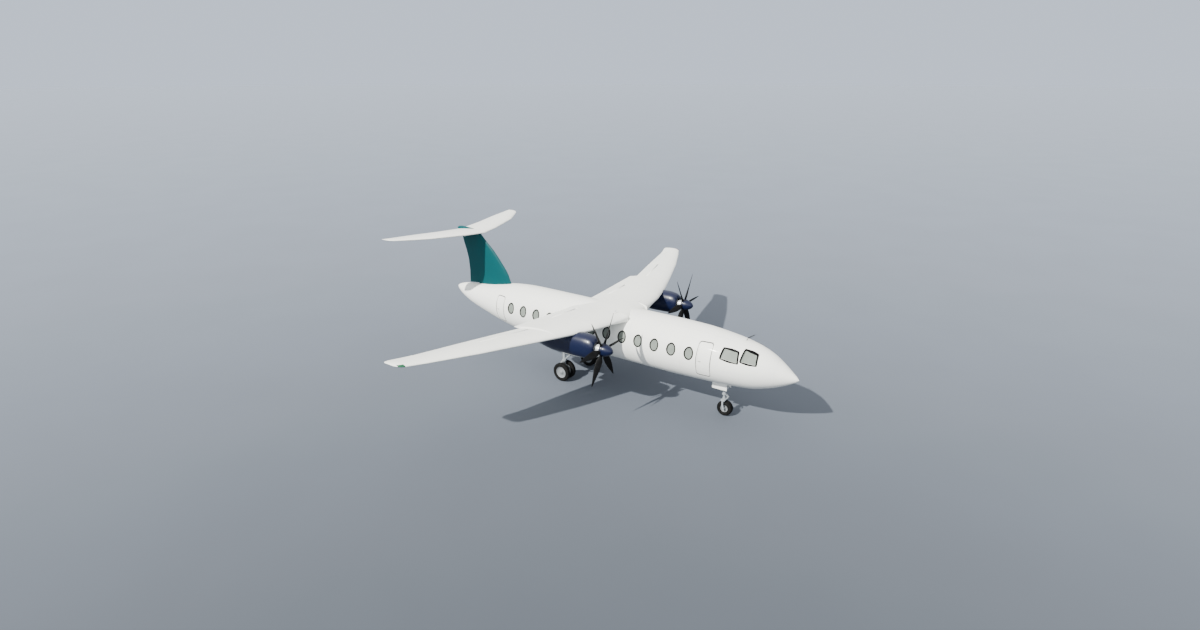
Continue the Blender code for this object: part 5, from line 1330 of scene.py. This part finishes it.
NOSE_WHEEL = mirrored([(0.122, 0.199), (0.122, 0.190), (0.110, 0.176), (0.088, 0.160), (0.074, 0.120), (0.072, 0.085),
                       (0.090, 0.066), (0.180, 0.058), (0.204, 0.052), (0.204, 0.030), (0.258, 0.030), (0.258, 0.0)])
LEAF_CORNER = 0.025
foot = Vector((0, STRUT_Y, 0))
axle = Vector((0, AXLE_Y, NOSE_TYRE_RADIUS))
pieces = [spun("strut", NOSE_STRUT, foot, (0, 0, 1), None, 48)]
for out in (-ACTUATOR_OUT, ACTUATOR_OUT):
    pieces.append(spun("actuator", ACTUATOR, foot + Vector((out, 0, 1.36)), (0, 1, 0), None, 20))
    pieces.append(box_tool(foot + Vector((min(out, 0), -0.02, 1.335)), foot + Vector((max(out, 0), 0.02, 1.385)),
                           "arm", 0.008))
for out in (-0.05, 0.05):
    pieces.append(spun("stay", rod(0.0, STAY_WAY.length, 0.022), foot + Vector((out, 0.05, 1.62)), STAY_WAY, None, 20))
finish_piece(join_in("nose_strut_leg", pieces, gear_grey), "airframe", "gear_grey", "nose_strut")

crown = box_tool(Vector((-0.26, AXLE_Y - 0.06, 0.835)), Vector((0.26, STRUT_Y + 0.08, 0.905)), "crown", 0.016)
pieces = [crown, spun("piston", NOSE_PISTON, foot, (0, 0, 1), None, 40)]
for end in (-1, 1):
    low, high = sorted((end * FORK_INSIDE, end * FORK_OUTSIDE))
    arm = slab("arm", FORK_ARM, low, high, 0.010)
    cut(arm, spun("hole", rod(-0.4, 0.4, 0.0306), axle, (1, 0, 0), None, 32))
    pieces.append(arm)
pieces.append(spun("collar", STEERING_COLLAR, foot, (0, 0, 1), None, 40, closed=True))
for end in (-1, 1):
    for outline, x in ((NOSE_LINK_LOW, end * 0.06), (NOSE_LINK_HIGH, end * 0.036)):
        pieces.append(slab("link", outline, x - 0.010, x + 0.010, 0.004))
pieces.append(spun("pin", rod(-0.078, 0.078, 0.014), foot + Vector((0, -0.232, 1.02)), (1, 0, 0), None, 16))
finish_piece(join_in("nose_fork_arms", pieces, gear_grey), "nose_steering", "gear_grey", "nose_fork")

parts = [spun("wheel", NOSE_WHEEL, axle, (1, 0, 0), None, 64)]
for end in (-1, 1):
    parts.append(ring_of_bolts(axle + Vector((end * 0.074, 0, 0)), (end, 0, 0), 0.105, 8, 0.009, 0.014))
finish_piece(join_in("nose_hub_wheel", parts, hub_grey), "nose_wheel", "hub_grey", "nose_hub")
rubber = tyre("nose_tyre_rubber", axle, NOSE_TYRE_RADIUS, NOSE_TYRE_WIDTH, NOSE_TYRE_BEAD, tyre_rubber)
finish_piece(rubber, "nose_wheel", "tyre_rubber", "nose_tyre")

for side, word in SIDES:
    node = f"nose_gear_door_{word}"
    low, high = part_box(node)
    outline = [(low.y, high.z), (low.y, low.z + LEAF_CORNER), (low.y + LEAF_CORNER, low.z),
               (high.y - LEAF_CORNER, low.z), (high.y, low.z + LEAF_CORNER), (high.y, high.z)]
    finish_piece(slab(f"{node}_leaf", outline, low.x, high.x, 0.004, door_white), "airframe", "door_white", node)

# Lamps. A green lens is moulded round the leading edge of the starboard wing tip, and a red one round
# the port tip. A taxi lamp, clear with a bright bowl, is clamped to the front of the nose strut.
lens_green = plain_finish("lens_green", (0.002, 0.05, 0.02), (0.004, 0.10, 0.04), 30.0, 0.08, 0.15)
lens_red = plain_finish("lens_red", (0.16, 0.004, 0.004), (0.30, 0.008, 0.008), 30.0, 0.08, 0.15)
lens_clear = plain_finish("lens_clear", (0.50, 0.52, 0.54), (0.72, 0.74, 0.76), 30.0, 0.05, 0.12, 0.3)
TIP_LENS_INNER, TIP_LENS_LONG = 12.00, 0.20
LENS_PROUD = 0.004
LENS_SECTION = [(0.13, 1), (0.08, 1), (0.04, 1), (0.012, 1), (0.0, 0), (0.012, -1), (0.04, -1), (0.08, -1), (0.13, -1)]
TAXI_BOWL = [(0.0, 0.0), (0.0, 0.030), (-0.02, 0.055), (-0.06, 0.066), (-0.075, 0.066), (-0.080, 0.058), (-0.074, 0.0)]
for (side, word), lens in zip(SIDES, (lens_red, lens_green)):
    rings = []
    for share in shares(8):
        x = side * (TIP_LENS_INNER + TIP_LENS_LONG * share)
        ring = [WING.point(x, place, up, LENS_PROUD) for place, up in LENS_SECTION]
        ring[4].y -= LENS_PROUD
        rings.append(ring)
    finish_piece(carried(f"tip_lamp_{word}", rings, lens), "airframe", "fuselage_white")
taxi_lamp = spun("taxi_lamp", TAXI_BOWL, foot + Vector((0, -0.10, 1.52)), (0, 1, 0), lens_clear, 32)
finish_piece(taxi_lamp, "airframe", "engine_silver")

# Aerial. A dark bent whip stands on the crown over the flight deck. It is a thin coated rod in a
# socket of the skin, leaning forward.
aerial_black = plain_finish("aerial_black", (0.008, 0.008, 0.009), (0.02, 0.02, 0.022), 20.0, 0.4, 0.6)
WHIP_RUN = [Vector((0, -8.55, 4.22)), Vector((0, -8.66, 4.42)), Vector((0, -8.95, 4.63))]
whip = hose("whip_aerial", WHIP_RUN, 0.016, aerial_black)
finish_piece(whip, "airframe", "blade_black")
